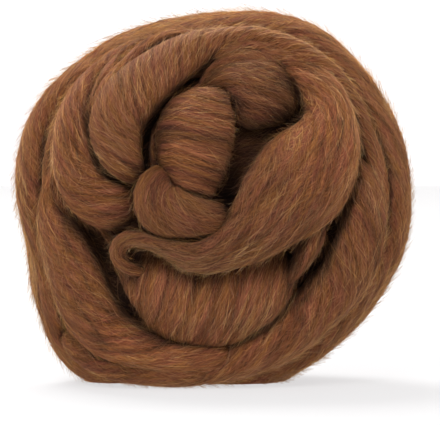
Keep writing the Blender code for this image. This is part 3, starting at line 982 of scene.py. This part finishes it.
@dataclass(frozen=True)
class FibreFinish:
    """Single fibres that stand off the combed skin: the same wool, each with its own tint.

    A fibre is thin enough for light to pass through it, so it glows warmly against the light, and
    its scales give it a soft golden sheen.
    """

    name: str = "loose_wool_fibre"
    dark: str = "4e2a18"
    rosy: str = "7c4a35"
    olive: str = "845229"
    light: str = "a26849"
    golden: str = "c58f56"
    tint_stops: tuple[float, ...] = (0.0, 0.35, 0.52, 0.7, 1.0)
    glow_through: float = 0.7
    glow_depth: float = 0.5
    glow_colours: tuple[float, float, float] = (1.0, 0.6, 0.3)
    roughness: float = 0.6
    specular: float = 0.25
    sheen: float = 0.5
    sheen_roughness: float = 0.4
    sheen_tint: str = "e8a868"
    buried: BuriedShade = BuriedShade()

    def make(self) -> bpy.types.Material:
        """Make the material of the fibres.

        Returns:
            The material.
        """
        material = bpy.data.materials.new(self.name)
        material.use_nodes = True
        tree = material.node_tree
        tree.nodes.clear()
        tint = add_node(tree, ATTRIBUTE, attribute_name="tint")
        colours = add_node(tree, RAMP, (tint.outputs["Fac"],))
        codes = (self.dark, self.rosy, self.olive, self.light, self.golden)
        set_stops(colours.color_ramp, dict(zip(self.tint_stops, codes)))
        shader = add_node(tree, SHADER, {
            "Base Color": self.buried.apply(tree, colours), "Roughness": self.roughness,
            "Specular IOR Level": self.specular, "Subsurface Weight": self.glow_through,
            "Subsurface Radius": self.glow_colours, "Subsurface Scale": self.glow_depth * MM,
            "Sheen Weight": self.sheen, "Sheen Roughness": self.sheen_roughness,
            "Sheen Tint": linear_colour(self.sheen_tint)})
        add_node(tree, "ShaderNodeOutputMaterial", {"Surface": shader})
        return material


@dataclass(frozen=True)
class StrandStyle:
    """How one kind of fibre lies on a turn, with its lengths in metres.

    The density is how many lie on a square metre, and the joints are the points of one fibre. A
    fibre drifts to one side, waves, and lifts off the skin: in an arch where it is not loose, and
    at its tip where it is. The palest is the lowest tint that is drawn. Fibres lie where the skin's
    openness is from clear_from to clear_to.
    """

    density: float
    length: float
    joints: int
    drift: float
    wave: float
    lift: float
    loose: float
    radius: float
    palest: float
    clear_from: float
    clear_to: float = 2.0

    def inputs(self, kind: str) -> dict[str, float | int]:
        """Return the style's values by the names of the tree's inputs."""
        return {
            f"{kind} {size.name.replace('_', ' ')}": getattr(self, size.name)
            for size in fields(self)}


@dataclass
class StrandNodes:
    """The nodes that lay one kind of fibre: starts on the skin, joints along it, then thin tubes.

    The given are the tree's inputs, and the draw is a number that sets this kind's random draws
    apart. Skin places are in its comb map, whose width is the girth of the turn and whose height is
    its run.
    """

    tree: bpy.types.NodeTree
    given: bpy.types.NodeOutputs
    kind: str
    draw: int
    lock_size: tuple[float, float] = (1.6, 26.0)
    lock_contrast: float = 2.2
    lock_ragged: float = 0.5
    tint_least: float = 0.2
    tint_spread: float = 0.6
    parting: PartingShade = PartingShade()
    parting_shade: float = 0.42
    fade: float = 0.25
    length_range: tuple[float, float] = (0.5, 1.3)
    drift_range: tuple[float, float] = (-2.0, 2.0)
    width_range: tuple[float, float] = (0.6, 1.3)
    wave_apart: float = 7.31
    wave_turns: float = 2.3
    map_edge: float = 0.001
    middle_width: float = 1.08
    tip_taper: float = 4.0
    loose_tip: float = -0.6
    tube_sides: int = 3
    open: bpy.types.Node = field(init=False)
    comb: bpy.types.Node = field(init=False)
    points: bpy.types.Node = field(init=False)
    strand: bpy.types.Node = field(init=False)
    share: bpy.types.Node = field(init=False)

    def __post_init__(self) -> None:
        """Lay the starts, and number each fibre's joints."""
        self.open = self.node(
            "GeometryNodeInputNamedAttribute", {"Name": "open"}, data_type="FLOAT")
        self.comb = self.node(
            "GeometryNodeInputNamedAttribute", {"Name": "comb"}, data_type="FLOAT_VECTOR")
        self.points = self.starts()
        index = self.node("GeometryNodeInputIndex")
        numbered = self.node(MATH, (index, self.own("joints")), operation="DIVIDE")
        self.strand = self.node(MATH, (numbered,), operation="FLOOR")
        gaps = self.node(MATH, (self.own("joints"), 1.0), operation="SUBTRACT")
        self.share = self.node(
            MATH, (self.points.outputs["Duplicate Index"], gaps), operation="DIVIDE")

    def node(self, kind: str, inputs: dict | tuple = (), **settings: object) -> bpy.types.Node:
        """Add a node to the tree."""
        return add_node(self.tree, kind, inputs, **settings)

    def own(self, name: str) -> bpy.types.NodeSocket:
        """Return one of this kind of fibre's inputs."""
        return self.given[f"{self.kind} {name}"]

    def drawn(self, low: float | bpy.types.NodeSocket, high: float,
              offset: int) -> bpy.types.NodeSocket:
        """Draw a random value for each fibre.

        Args:
            low: the lowest value.
            high: the highest value.
            offset: a number that sets this draw apart.

        Returns:
            The value.
        """
        seed = self.node(MATH, (self.given["Seed"], self.draw + offset), operation="ADD")
        return self.node("FunctionNodeRandomValue", {2: low, 3: high, 7: self.strand, 8: seed},
                         data_type="FLOAT").outputs[1]

    def sampled(self, value: bpy.types.Node, place: bpy.types.Node, kind: str) -> bpy.types.Node:
        """Return a value of the skin at a place in its comb map."""
        return self.node("GeometryNodeSampleUVSurface", {
            0: self.given["Skin"], "Value": value, "UV Map": self.comb, "Sample UV": place},
            data_type=kind)

    def starts(self) -> bpy.types.Node:
        """Scatter a start for each fibre where the wool lies as openly as its kind needs.

        Returns:
            The starts, once for each of a fibre's joints.
        """
        lowest = self.own("clear from")
        whole = self.node(MATH, (lowest, self.fade), operation="ADD")
        shown = self.node(MAP_RANGE, (self.open, lowest, whole, 0.0, 1.0))
        below = self.node(MATH, (self.open, self.own("clear to")), operation="LESS_THAN")
        density = self.node(MATH, (shown, below), operation="MULTIPLY")
        density = self.node(MATH, (density, self.own("density")), operation="MULTIPLY")
        seed = self.node(MATH, (self.given["Seed"], self.draw), operation="ADD")
        points = self.node("GeometryNodeDistributePointsOnFaces", {
            "Mesh": self.given["Skin"], "Density": density, "Seed": seed})
        return self.node("GeometryNodeDuplicateElements", {
            "Geometry": points, "Amount": self.own("joints")}, domain="POINT")

    def map_place(self, step: bpy.types.Node, size: str,
                  start: bpy.types.NodeSocket) -> bpy.types.Node:
        """Move a step away from a start in the comb map.

        Args:
            step: the step, in metres.
            size: the input that gives the map's size in that direction.
            start: where the fibre starts, from 0 to 1.

        Returns:
            The place, which stays inside the map.
        """
        share = self.node(MATH, (step, self.given[size]), operation="DIVIDE")
        place = self.node(MATH, (share, start), operation="ADD")
        return self.node("ShaderNodeClamp", (place, self.map_edge, 1.0 - self.map_edge))

    def target(self) -> bpy.types.Node:
        """Run each fibre along the roving from its own middle, with its twist, drift and wave.

        Returns:
            Where each joint lies in the comb map.
        """
        start = self.node(SEPARATE, (self.comb,))
        middle = self.node(MATH, (self.share, 0.5), operation="SUBTRACT")
        reach = self.node(MATH, (middle, self.own("length")), operation="MULTIPLY")
        reach = self.node(MATH, (reach, self.drawn(*self.length_range, 1)), operation="MULTIPLY")
        sway = self.node(MATH, (middle, self.drawn(*self.drift_range, 2)), operation="MULTIPLY")
        sway = self.node(MATH, (sway, self.own("drift")), operation="MULTIPLY")
        sway = self.node(MATH, (reach, self.given["Twist"], sway), operation="MULTIPLY_ADD")
        apart = self.node(MATH, (self.strand, self.wave_apart), operation="MULTIPLY")
        turns = self.node(MATH, (self.share, self.wave_turns), operation="MULTIPLY")
        spot = self.node(COMBINE, (apart, turns, 0.0))
        noise = self.node(NOISE, {"Vector": spot, "Scale": 1.0, "Detail": 1.0})
        wave = self.node(MATH, (noise, 0.5), operation="SUBTRACT")
        wave = self.node(MATH, (wave, self.own("wave"), sway), operation="MULTIPLY_ADD")
        across = self.map_place(wave, "Girth", start.outputs["X"])
        along = self.map_place(reach, "Run", start.outputs["Y"])
        return self.node(COMBINE, (across, along, 0.0))

    def raised(self, target: bpy.types.Node) -> bpy.types.Node:
        """Lift each fibre off the skin, and keep it above the ground.

        Args:
            target: where each joint lies in the comb map.

        Returns:
            Each joint's place.
        """
        on_skin = self.sampled(self.node("GeometryNodeInputPosition"), target, "FLOAT_VECTOR")
        off_skin = self.sampled(self.node("GeometryNodeInputNormal"), target, "FLOAT_VECTOR")
        half_turn = self.node(MATH, (self.share, math.pi), operation="MULTIPLY")
        arch = self.node(MATH, (half_turn,), operation="SINE")
        tail = self.node(MATH, (self.share, 2.0), operation="POWER")
        tail = self.node(MATH, (tail, arch), operation="SUBTRACT")
        rise = self.node(MATH, (tail, self.own("loose"), arch), operation="MULTIPLY_ADD")
        rise = self.node(MATH, (rise, self.drawn(0.0, 1.0, 3)), operation="MULTIPLY")
        rise = self.node(MATH, (rise, self.own("lift")), operation="MULTIPLY")
        lifted = self.node(VECTOR_MATH, {0: off_skin, "Scale": rise}, operation="SCALE")
        place = self.node(SEPARATE, (self.node(VECTOR_MATH, (on_skin, lifted), operation="ADD"),))
        above = self.node(MATH, (place.outputs["Z"], 0.0), operation="MAXIMUM")
        return self.node(COMBINE, (place.outputs["X"], place.outputs["Y"], above))

    def tint(self) -> bpy.types.Node:
        """Draw each fibre's tint, near that of the lock that it lies on, with painted shade in the
        partings.

        Returns:
            The tint, where 0 is dark and 1 is golden.
        """
        lay = self.node(
            "GeometryNodeInputNamedAttribute", {"Name": "lay"}, data_type="FLOAT_VECTOR")
        own = self.drawn(self.own("palest"), 1.0, 4)
        own = self.node(MATH, (own, self.tint_spread, self.tint_least), operation="MULTIPLY_ADD")
        parting = self.parting.darken(
            self.tree, lay.outputs[0], self.parting_shade, self.lock_ragged)
        own = self.node(MATH, (own, parting), operation="ADD")
        lock = combed_noise(self.tree, lay, self.lock_size, 2.0, self.lock_ragged)
        lock = self.node(MATH, (lock, 0.5), operation="SUBTRACT")
        return self.node(MATH, (lock, self.lock_contrast, own), operation="MULTIPLY_ADD")

    def width(self) -> bpy.types.Node:
        """Taper each fibre towards its two tips, less so where it is loose.

        Returns:
            The fibre's radius at each place along it.
        """
        along = self.node("GeometryNodeSplineParameter")
        taper = self.node(MATH, (along.outputs["Factor"], 2.0, -1.0), operation="MULTIPLY_ADD")
        taper = self.node(MATH, (taper, self.tip_taper), operation="POWER")
        blunt = self.node(MATH, (self.own("loose"), self.loose_tip, 1.0), operation="MULTIPLY_ADD")
        taper = self.node(MATH, (taper, blunt), operation="MULTIPLY")
        thick = self.node(MATH, (self.middle_width, taper), operation="SUBTRACT")
        thick = self.node(MATH, (thick, self.own("radius")), operation="MULTIPLY")
        return self.node(MATH, (thick, self.drawn(*self.width_range, 5)), operation="MULTIPLY")

    def lay(self) -> bpy.types.NodeSocket:
        """Join the steps into this kind's fibres.

        Returns:
            The fibres, as plain dressed tubes.
        """
        target = self.target()
        tinted = self.node("GeometryNodeStoreNamedAttribute", {
            "Geometry": self.points.outputs["Geometry"], "Name": "tint", "Value": self.tint()},
            data_type="FLOAT", domain="POINT")
        # Each fibre takes the openness of the skin under it, which paints shade on it deep in the
        # folds.
        shaded = self.node("GeometryNodeStoreNamedAttribute", {
            "Geometry": tinted, "Name": "open", "Value": self.sampled(self.open, target, "FLOAT")},
            data_type="FLOAT", domain="POINT")
        moved = self.node("GeometryNodeSetPosition", {
            "Geometry": shaded, "Position": self.raised(target)})
        curves = self.node("GeometryNodePointsToCurves", {
            "Points": moved, "Curve Group ID": self.strand, "Weight": self.share})
        ring = self.node("GeometryNodeCurvePrimitiveCircle", {
            "Resolution": self.tube_sides, "Radius": 1.0})
        tubes = self.node("GeometryNodeCurveToMesh", {
            "Curve": curves, "Profile Curve": ring, "Scale": self.width(), "Fill Caps": True})
        smooth = self.node("GeometryNodeSetShadeSmooth", {"Geometry": tubes})
        real = self.node("GeometryNodeRealizeInstances", {"Geometry": smooth})
        return self.node("GeometryNodeSetMaterial", {
            "Geometry": real, "Material": self.given["Material"]}).outputs[0]


@dataclass
class FibreLayer:
    """Lays combed fibres and loose hairs on a turn's skin with one geometry-node tree."""

    combed: StrandStyle = StrandStyle(
        density=110000.0, length=0.014, joints=4, drift=0.0030, wave=0.0030, lift=0.0006,
        loose=0.0, radius=0.00009, palest=0.0, clear_from=0.05)
    # The fuzz is drawn only in the paler tints, as painted glow of loose hairs lit from behind at
    # the outline.
    fuzz: StrandStyle = StrandStyle(
        density=340000.0, length=0.0058, joints=2, drift=0.0024, wave=0.0016, lift=0.0032,
        loose=1.0, radius=0.000055, palest=0.5, clear_from=0.08)
    flyaway: StrandStyle = StrandStyle(
        density=9000.0, length=0.018, joints=6, drift=0.0080, wave=0.0070, lift=0.0040,
        loose=1.0, radius=0.00005, palest=0.2, clear_from=0.05)
    bridging: StrandStyle = StrandStyle(
        density=60000.0, length=0.012, joints=4, drift=0.0060, wave=0.0060, lift=0.0050,
        loose=1.0, radius=0.00006, palest=0.1, clear_from=0.02, clear_to=0.5)
    draws_apart: int = 100
    tree: bpy.types.NodeTree | None = None
    sockets: dict[str, str] = field(default_factory=dict)

    def styles(self) -> dict[str, StrandStyle]:
        """Return the kinds of fibre by their names in the tree's inputs."""
        return {
            "Combed": self.combed, "Fuzz": self.fuzz, "Flyaway": self.flyaway,
            "Bridging": self.bridging}

    def make_tree(self) -> bpy.types.NodeTree:
        """Build the tree once, with an input for every size of every kind of fibre.

        Returns:
            The tree.
        """
        tree = bpy.data.node_groups.new("loose_fibres", "GeometryNodeTree")
        tree.interface.new_socket(name="Skin", in_out="INPUT", socket_type="NodeSocketGeometry")
        tree.interface.new_socket(
            name="Skin and fibres", in_out="OUTPUT", socket_type="NodeSocketGeometry")
        wanted = {
            "Run": "Float", "Girth": "Float", "Twist": "Float", "Seed": "Int",
            "Material": "Material"}
        for kind, style in self.styles().items():
            for name, value in style.inputs(kind).items():
                wanted[name] = "Int" if isinstance(value, int) else "Float"
        for name, kind in wanted.items():
            socket = tree.interface.new_socket(
                name=name, in_out="INPUT", socket_type=f"NodeSocket{kind}")
            self.sockets[name] = socket.identifier
        given = add_node(tree, "NodeGroupInput").outputs
        joined = add_node(tree, "GeometryNodeJoinGeometry", (given["Skin"],))
        for at, kind in enumerate(self.styles()):
            strands = StrandNodes(tree, given, kind, self.draws_apart * at)
            tree.links.new(strands.lay(), joined.inputs[0])
        add_node(tree, "NodeGroupOutput", (joined,))
        self.tree = tree
        return tree

    def lay(self, skin: bpy.types.Object, run: float, girth: float, twist: float, seed: int,
            material: bpy.types.Material) -> None:
        """Lay the fibres on a skin and turn the result into a plain mesh.

        Args:
            skin: the turn's body, with its comb and open attributes.
            run: the turn's length, in metres.
            girth: the distance round the turn, in metres.
            twist: how far the fibres drift to the left for each step along the turn.
            seed: the number that the fibres are drawn from.
            material: the fibres' finish.
        """
        modifier = skin.modifiers.new("fibres", "NODES")
        modifier.node_group = self.tree or self.make_tree()
        values = {"Run": run, "Girth": girth, "Twist": twist, "Seed": seed, "Material": material}
        for kind, style in self.styles().items():
            values |= style.inputs(kind)
        for name, value in values.items():
            modifier[self.sockets[name]] = value
        evaluated = skin.evaluated_get(bpy.context.evaluated_depsgraph_get())
        mesh = bpy.data.meshes.new_from_object(evaluated)
        skin.modifiers.remove(modifier)
        plain = skin.data
        skin.data = mesh
        bpy.data.meshes.remove(plain)
        mesh.name = skin.name


@dataclass(frozen=True)
class Openness:
    """Finds how openly the wool lies, by rays cast from the skins, with lengths in millimetres.

    The skins are thinned out before rays are cast at them, and rays start from one place in a few.
    The rays lean to all sides of the skin's outward direction, almost down to the skin.
    """

    rays: int = 14
    start_off: float = 1.4
    reach: float = 50.0
    spread: float = 0.97
    thin_along: int = 2
    thin_round: int = 3
    step_along: int = 3
    step_round: int = 4

    def blockers(self, skins: list[TurnSkin]) -> BVHTree:
        """Gather thinned skins into a tree that rays can be cast at.

        Args:
            skins: all the skins.

        Returns:
            The tree.
        """
        points, faces, first = [], [], 0
        for skin in skins:
            thin = skin.points[::self.thin_along, ::self.thin_round]
            count, ring = thin.shape[:2]
            points.append(thin.reshape(-1, 3))
            grid = first + np.arange(count * ring).reshape(count, ring)
            after = np.roll(grid, -1, 1)
            corners = np.stack([grid[:-1], grid[1:], after[1:], after[:-1]], -1)
            faces.extend(corners.reshape(-1, 4).tolist())
            first += count * ring
        return BVHTree.FromPolygons(np.vstack(points).tolist(), faces)

    def sphere(self) -> np.ndarray:
        """Spread directions evenly over a sphere, along a spiral.

        Returns:
            One direction for each ray.
        """
        spiral = np.arange(self.rays) + 0.5
        tall = 1 - 2 * spiral / self.rays
        turned = spiral * math.pi * (3 - math.sqrt(5))
        flat = np.sqrt(1 - tall ** 2)
        return np.column_stack([flat * np.cos(turned), flat * np.sin(turned), tall])

    def shares(self, skins: list[TurnSkin], unit_size: float) -> list[np.ndarray]:
        """Tell how openly each skin's points lie.

        Args:
            skins: all the skins.
            unit_size: how many of the skins' units of length there are in a millimetre.

        Returns:
            The openness of each skin's points, from 0 where other turns bury them to 1.
        """
        tree = self.blockers(skins)
        ways = self.spread * self.sphere()
        shares = []
        for skin in skins:
            count, ring = skin.points.shape[:2]
            rows = np.unique(np.append(np.arange(0, count, self.step_along), count - 1))
            spots = np.unique(np.append(np.arange(0, ring, self.step_round), ring - 1))
            normals = skin.normals()[np.ix_(rows, spots)]
            starts = skin.points[np.ix_(rows, spots)] + normals * self.start_off * unit_size
            rays = unit(normals[:, :, None, :] + ways)
            clear = np.zeros(starts.shape[:2])
            for at in np.ndindex(clear.shape):
                start = Vector(starts[at])
                hits = [
                    tree.ray_cast(start, Vector(ray), self.reach * unit_size)[0]
                    for ray in rays[at]]
                clear[at] = hits.count(None) / self.rays
            fine = np.array([np.interp(np.arange(ring), spots, row) for row in clear])
            full = np.array([np.interp(np.arange(count), rows, column) for column in fine.T]).T
            shares.append(full)
        return shares


@dataclass
class WoundBall:
    """The whole ball: every turn wound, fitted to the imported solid, combed and dressed."""

    winder: Winder = field(default_factory=Winder)
    openness: Openness = field(default_factory=Openness)
    fibres: FibreLayer = field(default_factory=FibreLayer)
    crease_depth: float = 1.5
    crease_from: float = 0.55
    press_height: float = 4.0
    press_softness: float = 0.25
    turns_apart: float = 17.0
    off_the_map: float = 2.0
    first_draw: int = 11
    draws_apart: int = 5
    core_draw: int = 7

    def fit_to_solid(self, skins: list[TurnSkin]) -> None:
        """Press the ball flat on the ground and fit it, in metres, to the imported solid's box.

        Args:
            skins: all the skins. Their points move.
        """
        ground, soft = self.winder.base.ground, self.press_softness
        for skin in skins:
            above = skin.points[..., 2] - ground
            pressed = soft * np.log1p(np.exp(above / soft))
            skin.points[..., 2] = ground + np.where(above < self.press_height, pressed, above)
        low = np.min([skin.points.min(axis=(0, 1)) for skin in skins], axis=0)
        high = np.max([skin.points.max(axis=(0, 1)) for skin in skins], axis=0)
        scale = (np.array(CAD_HIGH) - np.array(CAD_LOW)) / (high - low)
        LOG.info("fit: low %s high %s scale %s", low.round(2), high.round(2), scale.round(6))
        for skin in skins:
            skin.points = (skin.points - low) * scale + np.array(CAD_LOW)

    def deepen_creases(self, skins: list[TurnSkin]) -> None:
        """Draw each turn in where it meets its neighbours, so that soft creases open between them.

        Args:
            skins: all the skins. Their points move.
        """
        for skin, clear in zip(skins, self.openness.shares(skins, 1.0)):
            near = smooth_step(np.clip((self.crease_from - clear) / self.crease_from, 0.0, 1.0))
            skin.points = skin.points - skin.normals() * (self.crease_depth * near)[..., None]

    def comb_map(self, skin: TurnSkin) -> np.ndarray:
        """Unroll a skin into its comb map.

        Args:
            skin: the skin.

        Returns:
            Where each corner of each face lies, from 0 to 1, with the caps off the map.
        """
        count, ring = skin.points.shape[:2]
        across = np.append(skin.across, skin.girth) / skin.girth
        along = skin.along / skin.run
        spot = np.arange(ring)
        corners = np.empty((count - 1, ring, 4, 2), dtype=np.float32)
        corners[..., (0, 1), 0] = across[spot][None, :, None]
        corners[..., (2, 3), 0] = across[spot + 1][None, :, None]
        corners[..., (0, 3), 1] = along[:-1, None, None]
        corners[..., (1, 2), 1] = along[1:, None, None]
        caps = np.full(2 * ring * 2, self.off_the_map, dtype=np.float32)
        return np.concatenate([corners.ravel(), caps])

    def make_mesh(self, skin: TurnSkin, clear: np.ndarray, number: int) -> bpy.types.Mesh:
        """Make the mesh of one skin, with the lay of its fibres as attributes.

        Args:
            skin: the skin, in metres.
            clear: how openly each of its points lies.
            number: the turn's number, which sets its streaks apart.

        Returns:
            The mesh.
        """
        mesh = bpy.data.meshes.new(skin.turn.name)
        mesh.from_pydata(skin.points.reshape(-1, 3).tolist(), [], skin.faces())
        count, ring = skin.points.shape[:2]
        lay = np.empty((count, ring, 3), dtype=np.float32)
        lay[..., 0] = skin.spread - skin.turn.twist * skin.along[:, None]
        lay[..., 1] = skin.along[:, None]
        lay[..., 2] = number * self.turns_apart
        mesh.attributes.new("lay", "FLOAT_VECTOR", "POINT").data.foreach_set("vector", lay.ravel())
        # Painted light and shade along the turn, stored beside its openness, which paints shade
        # into the folds.
        shade = skin.turn.shade_along(skin.along / skin.run)[:, None] + np.zeros(ring)
        for name, values in (("open", clear), ("shade", shade)):
            attribute = mesh.attributes.new(name, "FLOAT", "POINT")
            attribute.data.foreach_set("value", values.astype(np.float32).ravel())
        mesh.uv_layers.new(name="comb").data.foreach_set("uv", self.comb_map(skin))
        mesh.shade_smooth()
        return mesh

    def build(self, wool: bpy.types.Material, loose: bpy.types.Material) -> list[bpy.types.Object]:
        """Build every turn as one finished piece.

        Args:
            wool: the finish of the skins.
            loose: the finish of the loose fibres.

        Returns:
            The pieces.
        """
        draws = range(
            self.first_draw, self.first_draw + self.draws_apart * len(TURNS), self.draws_apart)
        skins = [self.winder.wind(turn, draw) for turn, draw in zip(TURNS, draws)]
        skins.append(self.winder.wind_core(self.core_draw))
        self.deepen_creases(skins)
        self.fit_to_solid(skins)
        pieces = []
        for at, (skin, clear) in enumerate(zip(skins, self.openness.shares(skins, MM))):
            # Painted shade: the wool darkens deep in the folds, by its openness and the grooves of
            # its comb.
            mesh = self.make_mesh(skin, clear * skin.clear, at)
            mesh.materials.append(wool)
            piece = bpy.data.objects.new(skin.turn.name, mesh)
            bpy.context.scene.collection.objects.link(piece)
            self.fibres.lay(piece, skin.run * MM, skin.girth * MM, skin.turn.twist, at, loose)
            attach(piece, BODY)
            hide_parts(NODE)
            LOG.info(
                "%s: %d triangles, open %.2f", piece.name, triangles(piece), float(clear.mean()))
            pieces.append(piece)
        return pieces


def triangles(piece: bpy.types.Object) -> int:
    """Return how many triangles a piece has."""
    return sum(len(face.vertices) - 2 for face in piece.data.polygons)


@dataclass(frozen=True)
class StudioSheet:
    """A large matt sheet of the studio, softly lit through, so that the background stays pale.

    Its corners are in metres, and its colour is what it has apart from its glow.
    """

    name: str
    corners: tuple[tuple[float, float, float], ...]
    colour: str
    glow: float
    glow_tint: tuple[float, float, float, float] = (1.0, 0.985, 0.99, 1.0)
    roughness: float = 0.9

    def build(self) -> None:
        """Build the sheet."""
        mesh = bpy.data.meshes.new(self.name)
        mesh.from_pydata(self.corners, [], [(0, 1, 2, 3)])
        material = bpy.data.materials.new(self.name)
        material.use_nodes = True
        inputs = material.node_tree.nodes["Principled BSDF"].inputs
        inputs["Base Color"].default_value = linear_colour(self.colour)
        inputs["Roughness"].default_value = self.roughness
        inputs["Specular IOR Level"].default_value = 0.0
        inputs["Emission Color"].default_value = self.glow_tint
        inputs["Emission Strength"].default_value = self.glow
        mesh.materials.append(material)
        stage = bpy.data.objects.new(self.name, mesh)
        bpy.context.scene.collection.objects.link(stage)


@dataclass(frozen=True)
class SoftLight:
    """A square soft light that faces the ball. Sizes are in metres, and its power is in watts."""

    name: str
    place: tuple[float, float, float]
    side: float
    power: float
    aim: tuple[float, float, float] = (0.0, 0.0, 0.08)

    def build(self) -> None:
        """Build the light."""
        data = bpy.data.lights.new(self.name, "AREA")
        data.size = self.side
        data.energy = self.power
        light = bpy.data.objects.new(self.name, data)
        light.location = self.place
        towards = Vector(self.aim) - Vector(self.place)
        light.rotation_euler = towards.to_track_quat("-Z", "Y").to_euler()
        bpy.context.scene.collection.objects.link(light)


@dataclass(frozen=True)
class Studio:
    """A light table, lit paper behind it, soft lights, and the camera at the photograph's angle."""

    sheets: tuple[StudioSheet, ...] = (
        StudioSheet(
            "light_table", ((-7, -7, 0), (7, -7, 0), (7, 1.3, 0), (-7, 1.3, 0)), "808080", 0.65),
        StudioSheet(
            "lit_paper", ((-9, 4.3, -2), (9, 4.3, -2), (9, 4.3, 7), (-9, 4.3, 7)), "404040", 1.05))
    lights: tuple[SoftLight, ...] = (
        SoftLight("soft_box", (-0.4, -1.35, 1.35), 0.8, 19.5),
        SoftLight("top_light", (-0.35, 0.65, 1.2), 0.7, 24.0),
        SoftLight("side_light", (0.8, -0.3, 0.8), 0.6, 1.6))
    surroundings: float = 0.6
    frame_width_px: float = 440.0
    frame_height_px: float = 425.0
    ball_width_px: float = 395.0
    ball_middle_px: tuple[float, float] = (214.0, 197.0)
    elevation: float = 4.0
    distance: float = 2.4
    sensor_mm: float = 36.0
    farthest: float = 50.0

    def build(self) -> None:
        """Build the sheets, the lights and the camera."""
        for thing in (*self.sheets, *self.lights):
            thing.build()
        self.surround()
        self.camera()

    def surround(self) -> None:
        """Fill the shadows with even white light from all round."""
        world = bpy.data.worlds.new("bright_surroundings")
        bpy.context.scene.world = world
        world.use_nodes = True
        inputs = world.node_tree.nodes["Background"].inputs
        inputs["Color"].default_value = (1.0, 1.0, 1.0, 1.0)
        inputs["Strength"].default_value = self.surroundings

    def camera(self) -> None:
        """Put the camera where the ball fills the frame as it does in the photograph."""
        per_px = (CAD_HIGH.x - CAD_LOW.x) / self.ball_width_px
        lean = math.radians(self.elevation)
        middle = Vector((0.0, 0.0, (CAD_HIGH.z - CAD_LOW.z) / 2))
        back = Vector((0.0, -math.cos(lean), math.sin(lean)))
        up = Vector((0.0, math.sin(lean), math.cos(lean)))
        right_px = self.frame_width_px / 2 - self.ball_middle_px[0]
        down_px = self.frame_height_px / 2 - self.ball_middle_px[1]
        aim = middle + Vector((right_px * per_px, 0, 0)) - up * (down_px * per_px)
        data = bpy.data.cameras.new("camera")
        data.sensor_width = self.sensor_mm
        data.lens = data.sensor_width * self.distance / (self.frame_width_px * per_px)
        data.clip_end = self.farthest
        camera = bpy.data.objects.new("camera", data)
        camera.location = aim + back * self.distance
        camera.rotation_euler = (-back).to_track_quat("-Z", "Y").to_euler()
        bpy.context.scene.collection.objects.link(camera)
        bpy.context.scene.camera = camera


def main() -> None:
    """Build the ball and its studio, and report each piece."""
    logging.basicConfig(level=logging.INFO, format="%(name)s: %(message)s")
    bpy.context.scene.view_settings.view_transform = "Standard"
    Studio().build()
    pieces = WoundBall().build(WoolFinish().make(), FibreFinish().make())
    LOG.info("%d pieces, %d triangles", len(pieces), sum(triangles(piece) for piece in pieces))


if __name__ == "__main__":
    main()
